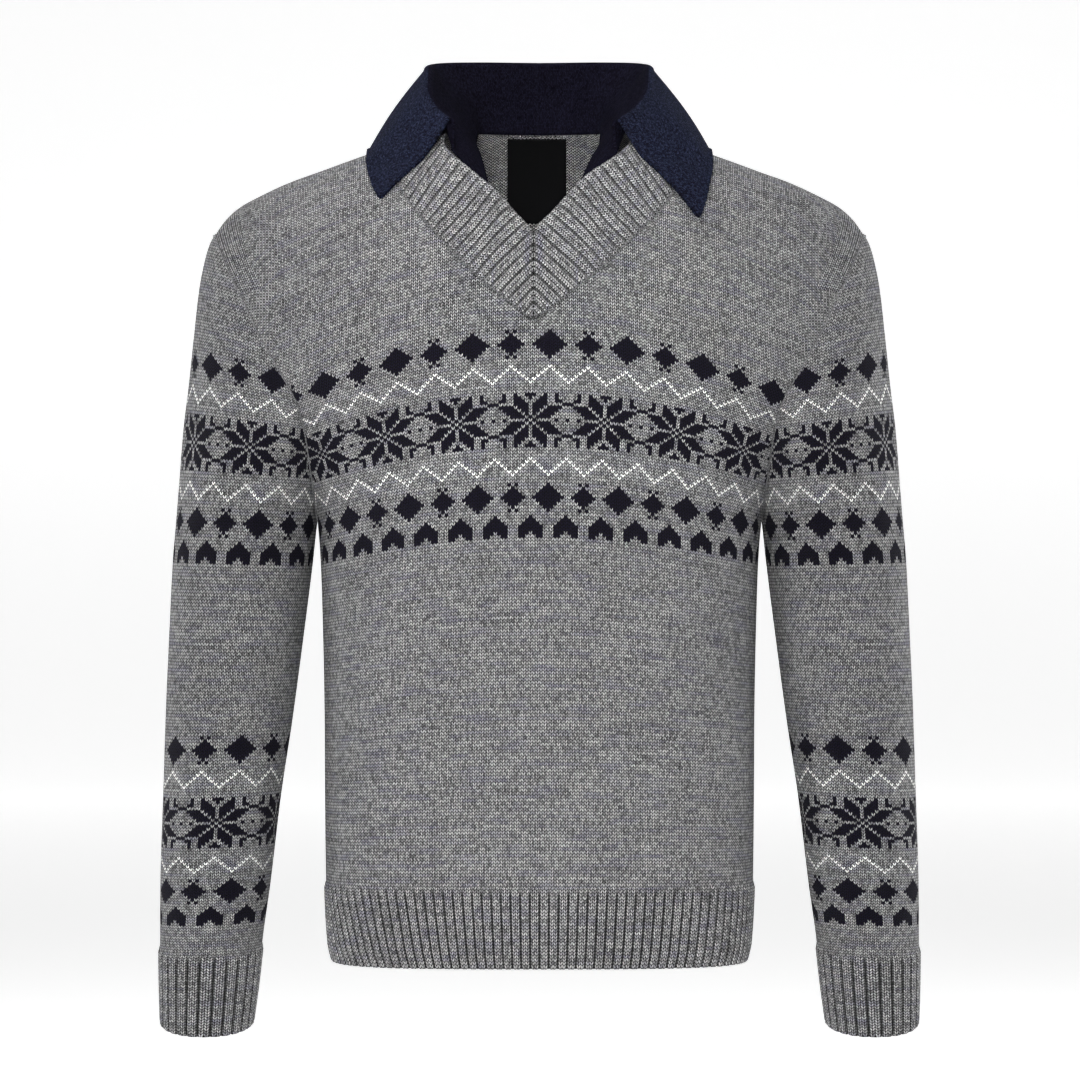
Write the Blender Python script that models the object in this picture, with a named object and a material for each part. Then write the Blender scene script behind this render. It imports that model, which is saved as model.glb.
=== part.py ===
"""A knitted V-neck pullover with a turn-down collar, filled out as when it is worn.

Frame: metres, +X to the wearer's left, -Y to the front, +Z up. The origin is the middle of the neck base, at
the height where the shoulder seams meet the neck. Every piece is a wall of cloth: a smooth outer face worked
out from the sections below, with ribs raised on it, over a plain inner face.
"""

from bisect import bisect_right
from collections import namedtuple
import math

import bpy
from mathutils import Vector

# Cloth
WALL = 0.0022           # plain knitted cloth
COLLAR_WALL = 0.0022
LABEL_WALL = 0.0008
SEAM_GAP = 0.0003       # between two pieces at a seam
RIB_RISE = 0.0011       # height of a rib's crest over its groove
RIB_CREST = 0.62        # share of a rib's pitch that its crest takes
RIB_RAMP = 0.004        # length over which a rib rises out of the plain cloth

# Levels of the body, from the neck base
HEM_LEVEL = -0.635
HEM_RIB_TOP = -0.5744
UNDERARM_LEVEL = -0.299
CHEST_LEVEL = -0.200    # over this level the cloth turns in to the shoulder ridge
SHOULDER_TURN = 0.200   # length of cloth from the chest level to the shoulder ridge
SHOULDER_FULLNESS = 2.1
RIDGE_DEPTH = 0.005     # the shoulder seams lie this far behind the side seams

# Ribs
HEM_RIBS = 62           # on the front, and again on the back
CUFF_RIBS = 26
NECK_RIBS = 18          # on each half of the neckband over the mitre
MITRE_RIBS = 6
CUFF_RIB_TOP = -0.6235

# Neck
V_CENTRE = -0.0045      # the mitre lies a little to one side
BACK_NECK_LEVEL = 0.003 # height of the back neck seam
BACK_NECK_TURN = 0.050  # where it turns up to the shoulder seams
NECK_SEAM_GAP = 0.0005  # the neckband's seam, where both edges curve
FOOT_GAP = 0.0008       # more room under the mitre's foot, where the front's V turns sharply

# Label
LABEL_CENTRE = -0.0015
LABEL_WIDTH = 0.046
LABEL_TOP = -0.0014
LABEL_HEIGHT = 0.0611
LABEL_GAP = 0.0017

FRONT, BACK = -1, 1
FRONT_FOOT_ROW, BACK_FOOT_ROW = 6, 12   # the row over the underarm where a panel's neck edge begins

# Level sections of the body: half width, depth to the front and to the back, squareness of the oval
BodySection = namedtuple("BodySection", "level half_width front back squareness")
BODY = (
    BodySection(-0.635, 0.1582, 0.0990, 0.0920, 3.4),
    BodySection(-0.622, 0.1612, 0.0995, 0.0925, 3.3),
    BodySection(-0.5744, 0.1638, 0.1000, 0.0925, 3.1),
    BodySection(-0.500, 0.1647, 0.1000, 0.0900, 2.9),
    BodySection(-0.453, 0.1650, 0.1010, 0.0900, 2.8),
    BodySection(-0.345, 0.1674, 0.1080, 0.0950, 2.7),
    BodySection(-0.299, 0.1706, 0.1100, 0.0980, 2.6),
    BodySection(-0.280, 0.1765, 0.1105, 0.0990, 2.5),
    BodySection(-0.250, 0.1955, 0.1115, 0.1000, 2.3),
    BodySection(-0.215, 0.2260, 0.1120, 0.1010, 2.05),
    BodySection(-0.200, 0.2400, 0.1120, 0.1010, 2.0),
)

# The shoulders, by the distance across from the centre: height of the ridge, and the depths at the chest level
ShoulderStation = namedtuple("ShoulderStation", "across ridge front back")
SHOULDER = (
    ShoulderStation(0.0000, 0.0450, 0.1120, 0.1010),
    ShoulderStation(0.0300, 0.0350, 0.1111, 0.1002),
    ShoulderStation(0.0500, 0.0180, 0.1095, 0.0988),
    ShoulderStation(0.0650, 0.0090, 0.1078, 0.0972),
    ShoulderStation(0.0790, 0.0018, 0.1057, 0.0954),
    ShoulderStation(0.1000, -0.0057, 0.1018, 0.0918),
    ShoulderStation(0.1240, -0.0142, 0.0959, 0.0865),
    ShoulderStation(0.1461, -0.0220, 0.0888, 0.0801),
    ShoulderStation(0.1703, -0.0308, 0.0789, 0.0712),
    ShoulderStation(0.1925, -0.0388, 0.0670, 0.0620),
    ShoulderStation(0.2159, -0.0497, 0.0590, 0.0560),
    ShoulderStation(0.2307, -0.0578, 0.0540, 0.0510),
    ShoulderStation(0.2416, -0.0676, 0.0480, 0.0460),
    ShoulderStation(0.2495, -0.0785, 0.0400, 0.0390),
)

# The armhole seam, from the underarm to the shoulder tip
ArmholePoint = namedtuple("ArmholePoint", "level across")
ARMHOLE = (
    ArmholePoint(-0.2990, 0.1706),
    ArmholePoint(-0.2930, 0.1709),
    ArmholePoint(-0.2800, 0.1718),
    ArmholePoint(-0.2650, 0.1733),
    ArmholePoint(-0.2480, 0.1753),
    ArmholePoint(-0.2300, 0.1780),
    ArmholePoint(-0.2120, 0.1828),
    ArmholePoint(-0.1950, 0.1915),
    ArmholePoint(-0.1780, 0.2015),
    ArmholePoint(-0.1600, 0.2118),
    ArmholePoint(-0.1410, 0.2210),
    ArmholePoint(-0.1210, 0.2312),
    ArmholePoint(-0.1010, 0.2406),
    ArmholePoint(-0.0870, 0.2465),
    ArmholePoint(-0.0785, 0.2495),
)

# Level sections of a sleeve, from the cuff to the shoulder: its outer and inner side across from the centre, its
# half depth, how far its middle lies behind the side seam, and how far its front hangs lower than its back
SleeveSection = namedtuple("SleeveSection", "level outer inner half_depth middle tilt")
SLEEVE = (
    SleeveSection(-0.6835, 0.2893, 0.2200, 0.0370, -0.016, 0.20),
    SleeveSection(-0.6570, 0.2903, 0.2165, 0.0385, -0.014, 0.19),
    SleeveSection(-0.6145, 0.2911, 0.2118, 0.0410, -0.010, 0.16),
    SleeveSection(-0.5820, 0.2912, 0.2073, 0.0430, -0.007, 0.13),
    SleeveSection(-0.5100, 0.2895, 0.1989, 0.0465, -0.001, 0.08),
    SleeveSection(-0.4530, 0.2880, 0.1905, 0.0500, 0.003, 0.04),
    SleeveSection(-0.3800, 0.2848, 0.1808, 0.0550, 0.003, 0.0),
    SleeveSection(-0.3300, 0.2822, 0.1745, 0.0590, 0.002, 0.0),
    SleeveSection(-0.2990, 0.2795, 0.1710, 0.0615, 0.001, 0.0),
    SleeveSection(-0.2650, 0.2768, 0.1650, 0.0640, 0.001, 0.0),
    SleeveSection(-0.2300, 0.2740, 0.1600, 0.0655, 0.001, 0.0),
    SleeveSection(-0.1950, 0.2699, 0.1580, 0.0650, 0.002, 0.0),
    SleeveSection(-0.1600, 0.2663, 0.1640, 0.0610, 0.003, 0.0),
    SleeveSection(-0.1210, 0.2620, 0.1850, 0.0500, 0.004, 0.0),
    SleeveSection(-0.1010, 0.2583, 0.2020, 0.0400, 0.005, 0.0),
    SleeveSection(-0.0870, 0.2543, 0.2220, 0.0280, 0.005, 0.0),
    SleeveSection(-0.0785, 0.2502, 0.2360, 0.0160, 0.005, 0.0),
)
CAP_LEVEL = -0.101      # over this level the sleeve's head turns level with the shoulder ridge
CAP_DIRECTION = (0.62, 0.0, 0.78)
SLEEVE_FULLNESS = 2.15
SEAM_REACH = 3.0        # how fast the sleeve leaves the armhole seam for its own round section

# The neckband's inner and outer edge, from the shoulder seam to the foot of the mitre. The edges run down the
# front in step, so that each row is a rib's direction, and from the fifth row the inner edge is the mitre
NeckStation = namedtuple("NeckStation", "station inner_across inner_level outer_across outer_level")
SHOULDER_RIDGE = None
NECKBAND = (
    NeckStation(0.0, 0.0650, SHOULDER_RIDGE, 0.1210, SHOULDER_RIDGE),
    NeckStation(0.048, 0.0705, -0.0105, 0.1010, -0.0530),
    NeckStation(0.082, 0.0443, -0.0366, 0.0800, -0.0790),
    NeckStation(0.120, 0.0148, -0.0666, 0.0535, -0.1065),
    NeckStation(0.139, 0.0000, -0.0816, 0.0395, -0.1195),
    NeckStation(0.164, 0.0000, -0.1150, 0.0198, -0.1350),
    NeckStation(0.188, 0.0000, -0.1475, 0.0012, -0.1500),
)
MITRE_STATION = 4       # the row of the table where the inner edge turns into the mitre

# The collar, by the share of its length from the centre back to its front end: the bottom of the stand, the
# stand's middle, the top of the roll, and the edge of the fall
CollarStation = namedtuple("CollarStation", "share seat middle roll edge")
COLLAR = (
    CollarStation(0.00, (0.0000, 0.0580, 0.0027), (0.0000, 0.0600, 0.0310), (0.0000, 0.0620, 0.0598),
                  (0.0000, 0.0790, -0.0165)),
    CollarStation(0.25, (0.0282, 0.0511, 0.0028), (0.0300, 0.0545, 0.0310), (0.0320, 0.0565, 0.0596),
                  (0.0500, 0.0735, -0.0190)),
    CollarStation(0.50, (0.0470, 0.0348, 0.0020), (0.0520, 0.0390, 0.0290), (0.0640, 0.0420, 0.0580),
                  (0.1000, 0.0500, -0.0215)),
    CollarStation(0.70, (0.0485, 0.0050, -0.0080), (0.0620, 0.0110, 0.0210), (0.0850, 0.0130, 0.0525),
                  (0.1325, 0.0080, -0.0150)),
    CollarStation(0.85, (0.0455, -0.0350, -0.0220), (0.0640, -0.0250, 0.0030), (0.0850, -0.0170, 0.0330),
                  (0.1325, -0.0330, -0.0255)),
    CollarStation(0.94, (0.0420, -0.0590, -0.0350), (0.0630, -0.0410, -0.0120), (0.0775, -0.0350, 0.0165),
                  (0.1270, -0.0565, -0.0490)),
    CollarStation(1.00, (0.0387, -0.0765, -0.0485), (0.0625, -0.0485, -0.0190), (0.0655, -0.0475, 0.0060),
                  (0.1185, -0.0685, -0.0590)),
)
LONGER_LEAF = (0.0005, -0.0080, -0.0135)
ROLL_RADIUS = 0.0042
FALL_BULGE = 0.003
COLLAR_CLEARANCE = 0.0042

# Soft creases, each a line on the cloth: where it starts and ends, as (distance across, level) on the body and
# (share round from the front seam, level) on a sleeve, its half width, and its depth (a ridge is below zero)
Crease = namedtuple("Crease", "start end half_width depth")
FRONT_CREASES = (
    Crease((0.160, -0.262), (0.140, -0.385), 0.018, 0.0040),
    Crease((0.150, -0.300), (0.118, -0.362), 0.014, 0.0018),
    Crease((0.150, -0.415), (0.120, -0.520), 0.020, 0.0016),
    Crease((0.116, -0.330), (0.096, -0.460), 0.022, -0.0014),
)
BACK_CREASES = (
    Crease((0.156, -0.268), (0.134, -0.370), 0.018, 0.0034),
    Crease((0.146, -0.325), (0.110, -0.375), 0.014, 0.0018),
    Crease((0.148, -0.440), (0.112, -0.530), 0.020, 0.0016),
    Crease((0.060, -0.480), (0.090, -0.545), 0.024, -0.0016),
)
SLEEVE_CREASES = (
    Crease((0.16, -0.262), (0.28, -0.300), 0.016, 0.0028),
    Crease((0.10, -0.318), (0.30, -0.352), 0.014, 0.0022),
    Crease((0.84, -0.270), (0.70, -0.318), 0.016, 0.0026),
    Crease((0.10, -0.420), (0.27, -0.440), 0.013, 0.0018),
    Crease((0.70, -0.436), (0.93, -0.452), 0.014, 0.0022),
    Crease((0.10, -0.478), (0.32, -0.466), 0.014, 0.0016),
)

Paint = namedtuple("Paint", "color roughness")
GREY_YARN = Paint((0.205, 0.205, 0.214), 0.92)
RIB_YARN = Paint((0.195, 0.195, 0.205), 0.92)
NAVY_YARN = Paint((0.012, 0.020, 0.055), 0.90)
LABEL_BLACK = Paint((0.008, 0.008, 0.009), 0.60)


# ---------------------------------------------------------------- tables and curves

def tangent(knots, values, i):
    """Slope of a curve through the values at knot i, flat where the values turn round."""
    steps = [(values[k + 1] - values[k]) / (knots[k + 1] - knots[k]) for k in (i - 1, i) if 0 <= k < len(knots) - 1]
    if len(steps) == 1:
        return steps[0]
    before, after = steps
    if before * after <= 0:
        return 0.0
    return 2 * before * after / (before + after)


def curve_value(knots, values, at):
    """The value at a place on the smooth curve through the values."""
    if at <= knots[0]:
        return values[0]
    if at >= knots[-1]:
        return values[-1]
    i = bisect_right(knots, at) - 1
    span = knots[i + 1] - knots[i]
    t = (at - knots[i]) / span
    start, end = tangent(knots, values, i), tangent(knots, values, i + 1)
    return (values[i] * (1 + 2 * t) * (1 - t) ** 2 + start * span * t * (1 - t) ** 2
            + values[i + 1] * t * t * (3 - 2 * t) - end * span * t * t * (1 - t))


def read(table, column, at):
    """A column of a table at a value of the table's first column."""
    return curve_value([line[0] for line in table], [getattr(line, column) for line in table], at)


def read_point(table, column, at):
    """A column of points of a table at a value of the table's first column."""
    knots = [line[0] for line in table]
    return Vector([curve_value(knots, [getattr(line, column)[axis] for line in table], at) for axis in range(3)])


def lerp(start, end, share):
    """The value at a share of the way from start to end."""
    return start + (end - start) * share


def spread(start, end, count):
    """count + 1 even values from start to end."""
    return [lerp(start, end, i / count) for i in range(count)] + [end]


def along(points, share):
    """The point at a share of the length of a line through flat points."""
    lengths = [math.dist(a, b) for a, b in zip(points, points[1:])]
    left = share * sum(lengths)
    for a, b, length in zip(points, points[1:], lengths):
        if left <= length:
            return tuple(lerp(p, q, left / length) for p, q in zip(a, b))
        left -= length
    return points[-1]


def even_steps(points, count):
    """Places, as whole and part indices, that split a line through points into count even lengths."""
    reached = [0.0]
    for a, b in zip(points, points[1:]):
        reached.append(reached[-1] + (b - a).length)
    places = [0.0]
    for i in range(1, count):
        wanted = reached[-1] * i / count
        k = bisect_right(reached, wanted) - 1
        places.append(k + (wanted - reached[k]) / (reached[k + 1] - reached[k]))
    return places + [len(points) - 1.0]


# ---------------------------------------------------------------- the worn form

def column_of(face):
    """The name of the depth column of a face."""
    return "front" if face == FRONT else "back"


def oval_depth(share, depth, squareness):
    """Depth of an oval section at a share of its half width."""
    return depth * (1 - min(abs(share), 1.0) ** squareness) ** (1 / squareness)


def oval_walk(half_width, depth, squareness, count=80):
    """Shares of the half width that split an oval from its middle to its side into even lengths."""
    points = []
    for turn in spread(math.pi / 2, 0.0, 600):
        across, out = abs(math.cos(turn)) / half_width, abs(math.sin(turn)) / depth
        radius = (across ** squareness + out ** squareness) ** (-1 / squareness)
        points.append(Vector((math.cos(turn) * radius, math.sin(turn) * radius)))
    shares = []
    for step in even_steps(points, count):
        k = min(int(step), len(points) - 2)
        shares.append(lerp(points[k].x, points[k + 1].x, step - k) / half_width)
    return [0.0] + shares[1:-1] + [1.0]


WALK = oval_walk(0.165, 0.1, 2.8)


def share_across(u):
    """Share of the half width at a share of the way round from the middle to the side seam."""
    step = abs(u) * (len(WALK) - 1)
    k = min(int(step), len(WALK) - 2)
    return lerp(WALK[k], WALK[k + 1], step - k)


def form(across, climb, face):
    """A point on the body's form. climb is measured up the cloth from the chest level."""
    if climb <= 0:
        level = CHEST_LEVEL + climb
        share = across / read(BODY, "half_width", level)
        depth = oval_depth(share, read(BODY, column_of(face), level), read(BODY, "squareness", level))
        return Vector((across, face * depth, level))
    turn = min(climb / SHOULDER_TURN, 1.0) * math.pi / 2
    ridge = read(SHOULDER, "ridge", abs(across))
    depth = read(SHOULDER, column_of(face), abs(across))
    rise = math.sin(turn) ** (2 / SHOULDER_FULLNESS)
    reach = max(math.cos(turn), 0.0) ** (2 / SHOULDER_FULLNESS)
    return Vector((across, lerp(RIDGE_DEPTH, face * depth, reach), lerp(CHEST_LEVEL, ridge, rise)))


def climb_to(across, level):
    """How far up the cloth a level is reached at a distance across."""
    if level <= CHEST_LEVEL:
        return level - CHEST_LEVEL
    rise = (level - CHEST_LEVEL) / (read(SHOULDER, "ridge", abs(across)) - CHEST_LEVEL)
    turn = math.asin(min(rise, 1.0) ** (SHOULDER_FULLNESS / 2))
    return SHOULDER_TURN * turn / (math.pi / 2)


def shoulder_height(across, forward):
    """Height of the form over a place on the floor plan."""
    face = FRONT if forward < RIDGE_DEPTH else BACK
    depth = face * read(SHOULDER, column_of(face), abs(across))
    reach = max(0.0, min(1.0, (forward - RIDGE_DEPTH) / (depth - RIDGE_DEPTH)))
    turn = math.acos(reach ** (SHOULDER_FULLNESS / 2))
    return lerp(CHEST_LEVEL, read(SHOULDER, "ridge", abs(across)), math.sin(turn) ** (2 / SHOULDER_FULLNESS))


def crease_depth(creases, place, stretch=(1.0, 1.0)):
    """How far the creases push a place on the cloth in. stretch turns the place's units into metres."""
    total = 0.0
    at = Vector((place[0] * stretch[0], place[1] * stretch[1]))
    for crease in creases:
        start = Vector((crease.start[0] * stretch[0], crease.start[1] * stretch[1]))
        run = Vector((crease.end[0] * stretch[0], crease.end[1] * stretch[1])) - start
        share = max(0.0, min(1.0, (at - start).dot(run) / run.length_squared))
        aside = (at - start - run * share).length / crease.half_width
        if aside < 1:
            total += crease.depth * (math.cos(aside * math.pi) + 1) / 2 * math.sin(math.pi * (0.1 + 0.8 * share))
    return total


# ---------------------------------------------------------------- walls of cloth

Row = namedtuple("Row", "v us closed")


def row(v, us, closed=False):
    """A row of places across a piece, at one v."""
    return Row(v, list(us), closed)


class Surface:
    """A piece's outer face as a function of (u, v).

    limits are the first and last u and v. settle may turn the outward direction, so that it stays in a seam's plane.
    """

    def __init__(self, place, limits, settle=None):
        self.place = place
        self.limits = limits
        self.settle = settle or (lambda direction, u, v: direction)

    def outward(self, u, v, step=0.0002):
        """The direction out of the face at a place."""
        low_u, high_u, low_v, high_v = self.limits
        across = self.place(min(u + step, high_u), v) - self.place(max(u - step, low_u), v)
        up = self.place(u, min(v + step, high_v)) - self.place(u, max(v - step, low_v))
        return self.settle(across.cross(up).normalized(), u, v).normalized()

    def skin(self, points, rows, lift):
        """Adds the points of one face of a wall, and returns its rows of (parameter, vertex) pairs."""
        rows_of_pairs = []
        for line in rows:
            pairs = []
            for u in line.us:
                if line.closed and u == line.us[-1]:
                    pairs.append((u, pairs[0][1]))
                    continue
                points.append(self.place(u, line.v) + self.outward(u, line.v) * lift(u, line.v))
                pairs.append((u, len(points) - 1))
            rows_of_pairs.append(pairs)
        return rows_of_pairs


def zip_faces(low, high):
    """Triangles between two rows of (parameter, vertex) pairs, in step with their parameters."""
    faces = []
    i, j = 0, 0
    while i < len(low) - 1 or j < len(high) - 1:
        if j == len(high) - 1 or (i < len(low) - 1 and low[i + 1][0] <= high[j + 1][0]):
            corners = (low[i][1], low[i + 1][1], high[j][1])
            i += 1
        else:
            corners = (low[i][1], high[j + 1][1], high[j][1])
            j += 1
        if len(set(corners)) == 3:
            faces.append(corners)
    return faces


class Wall:
    """A closed wall of cloth, made of sheets with an outer face that may carry relief and a plain inner face."""

    def __init__(self, thickness, relief=None):
        self.thickness = thickness
        self.relief = relief or (lambda u, v: 0.0)
        self.points = []
        self.faces = []

    def add_sheet(self, surface, outer_rows, inner_rows, start=((), ())):
        """Adds both faces of a sheet, which may grow from the rows of another, and returns their rows of pairs."""
        outer = list(start[0]) + surface.skin(self.points, outer_rows, self.relief)
        inner = list(start[1]) + surface.skin(self.points, inner_rows, lambda u, v: -self.thickness)
        for low, high in zip(outer, outer[1:]):
            self.faces += zip_faces(low, high)
        for low, high in zip(inner, inner[1:]):
            self.faces += [corners[::-1] for corners in zip_faces(low, high)]
        return outer, inner

    def close(self, first, second):
        """Joins two edges, each a row of pairs, with the first one on the outward side's right."""
        self.faces += zip_faces(first, second)

    def build(self, name):
        """The wall as an object."""
        mesh = bpy.data.meshes.new(name)
        mesh.from_pydata(self.points, [], self.faces)
        mesh.shade_smooth()
        mesh.set_sharp_from_angle(angle=math.radians(50))
        return bpy.data.objects.new(name, mesh)


def side_edge(skin, rows, end):
    """The (v, vertex) pairs down one side of a skin."""
    return [(line.v, pairs[end][1]) for line, pairs in zip(rows, skin)]


def make_wall(name, surface, outer_rows, inner_rows, thickness, relief=None):
    """A wall of one sheet, closed round its edges. Rows that close on themselves come first."""
    wall = Wall(thickness, relief)
    outer, inner = wall.add_sheet(surface, outer_rows, inner_rows)
    wall.close(inner[0], outer[0])
    wall.close(outer[-1], inner[-1])
    if not all(line.closed for line in outer_rows):
        edges = []
        for skin, rows in ((outer, outer_rows), (inner, inner_rows)):
            first = max((i for i, line in enumerate(rows) if line.closed), default=0)
            edges.append([side_edge(skin[first:], rows[first:], end) for end in (0, -1)])
        wall.close(edges[0][0], edges[1][0])
        wall.close(edges[1][1], edges[0][1])
    return wall.build(name)


def rib_places(edges):
    """Three places for each rib between its two edges: the groove and the crest's two shoulders."""
    side = (1 - RIB_CREST) / 2
    places = []
    for start, end in zip(edges, edges[1:]):
        places += [start, lerp(start, end, side), lerp(start, end, 1 - side)]
    return places + [edges[-1]]


def crests(ribbed):
    """The places of rib_places that lie on a crest."""
    return {place for i, place in enumerate(ribbed) if i % 3}


# ---------------------------------------------------------------- front and back

HEM_EDGE_LEVELS = (HEM_LEVEL, HEM_LEVEL + 0.003, HEM_RIB_TOP - RIB_RAMP)
SIDE_LEVELS = (-0.548, -0.515, -0.480, -0.445, -0.415, -0.385, -0.360, -0.338, -0.318)
PLACES_ACROSS = 18      # on half a panel
PLACES_OVER = 9         # on each side of the neck
TOP = ARMHOLE[-1].level


def lean(across):
    """How far the neck is drawn to one side at a distance across."""
    return V_CENTRE * max(0.0, 1 - across / NECKBAND[0].outer_across)


def armhole_place(level):
    """The armhole seam at a level, as (distance across, climb)."""
    across = read(ARMHOLE, "across", level)
    return (across, SHOULDER_TURN if level >= TOP else climb_to(across, level))


def armhole_levels(start, count):
    """Levels from start to the shoulder tip that split the armhole seam into even lengths of cloth."""
    levels = [TOP - (TOP - start) * (1 - t) ** 2 for t in spread(0.0, 1.0, 400)]
    steps = even_steps([Vector(armhole_place(level)) for level in levels], count)
    return [lerp(levels[int(step)], levels[int(step) + 1], step % 1) for step in steps[:-1]] + [TOP]


ROW_LEVELS = spread(UNDERARM_LEVEL, -0.180, FRONT_FOOT_ROW)[:-1] + armhole_levels(-0.180, 12)


def neckband_stations():
    """Where the edges of the neckband's ribs lie, from the mitre's foot to the shoulder seam."""
    turn = NECKBAND[MITRE_STATION].station
    return spread(NECKBAND[-1].station, turn, MITRE_RIBS) + spread(turn, 0.0, NECK_RIBS)[1:]


def neck_place(across, level):
    """A neckband point as (distance across, climb)."""
    return (across, SHOULDER_TURN if level is SHOULDER_RIDGE else climb_to(across, level))


def edge_value(points, knots, station):
    """A place on a smooth curve through flat points."""
    return tuple(curve_value(knots, [point[axis] for point in points], station) for axis in (0, 1))


def free_edge(station):
    """The neckband's inner edge at a station, and from the V's point its mitre."""
    turn = NECKBAND[MITRE_STATION].station
    part = NECKBAND[:MITRE_STATION + 1] if station <= turn else NECKBAND[MITRE_STATION:]
    return edge_value([neck_place(line.inner_across, line.inner_level) for line in part],
                      [line.station for line in part], station)


def seam_knots():
    """Every second rib edge on the neckband's outer edge, as (station, place), from the shoulder to the foot."""
    points = [neck_place(line.outer_across, line.outer_level) for line in NECKBAND]
    stations = [line.station for line in NECKBAND]
    return [(station, edge_value(points, stations, station)) for station in reversed(neckband_stations()[::2])]


SEAM_KNOTS = seam_knots()


def seam_edge(station):
    """The neckband's outer edge at a station, straight on the cloth from knot to knot."""
    k = min(max(bisect_right([knot[0] for knot in SEAM_KNOTS], station) - 1, 0), len(SEAM_KNOTS) - 2)
    (first, low), (second, high) = SEAM_KNOTS[k], SEAM_KNOTS[k + 1]
    share = (station - first) / (second - first)
    return tuple(lerp(a, b, share) for a, b in zip(low, high))


def front_neckline():
    """The front's neck edge from the foot of the V to the shoulder seam, a place for each row over the foot."""
    aside = NECK_SEAM_GAP * 0.7
    line = [(across + aside, climb - aside) for _, (across, climb) in reversed(SEAM_KNOTS)]
    return [(0.0, line[0][1] - FOOT_GAP)] + line[1:-1] + [(line[-1][0] + aside, SHOULDER_TURN)]


def back_neckline():
    """The back's neck edge from the centre to the shoulder seam, a place for each row over the foot."""
    line = [(across, climb_to(across, BACK_NECK_LEVEL)) for across in spread(0.0, BACK_NECK_TURN, 8)]
    line.append((NECKBAND[0].inner_across, SHOULDER_TURN))
    return [along(line, share) for share in spread(0.0, 1.0, len(ROW_LEVELS) - 1 - BACK_FOOT_ROW)]


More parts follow.
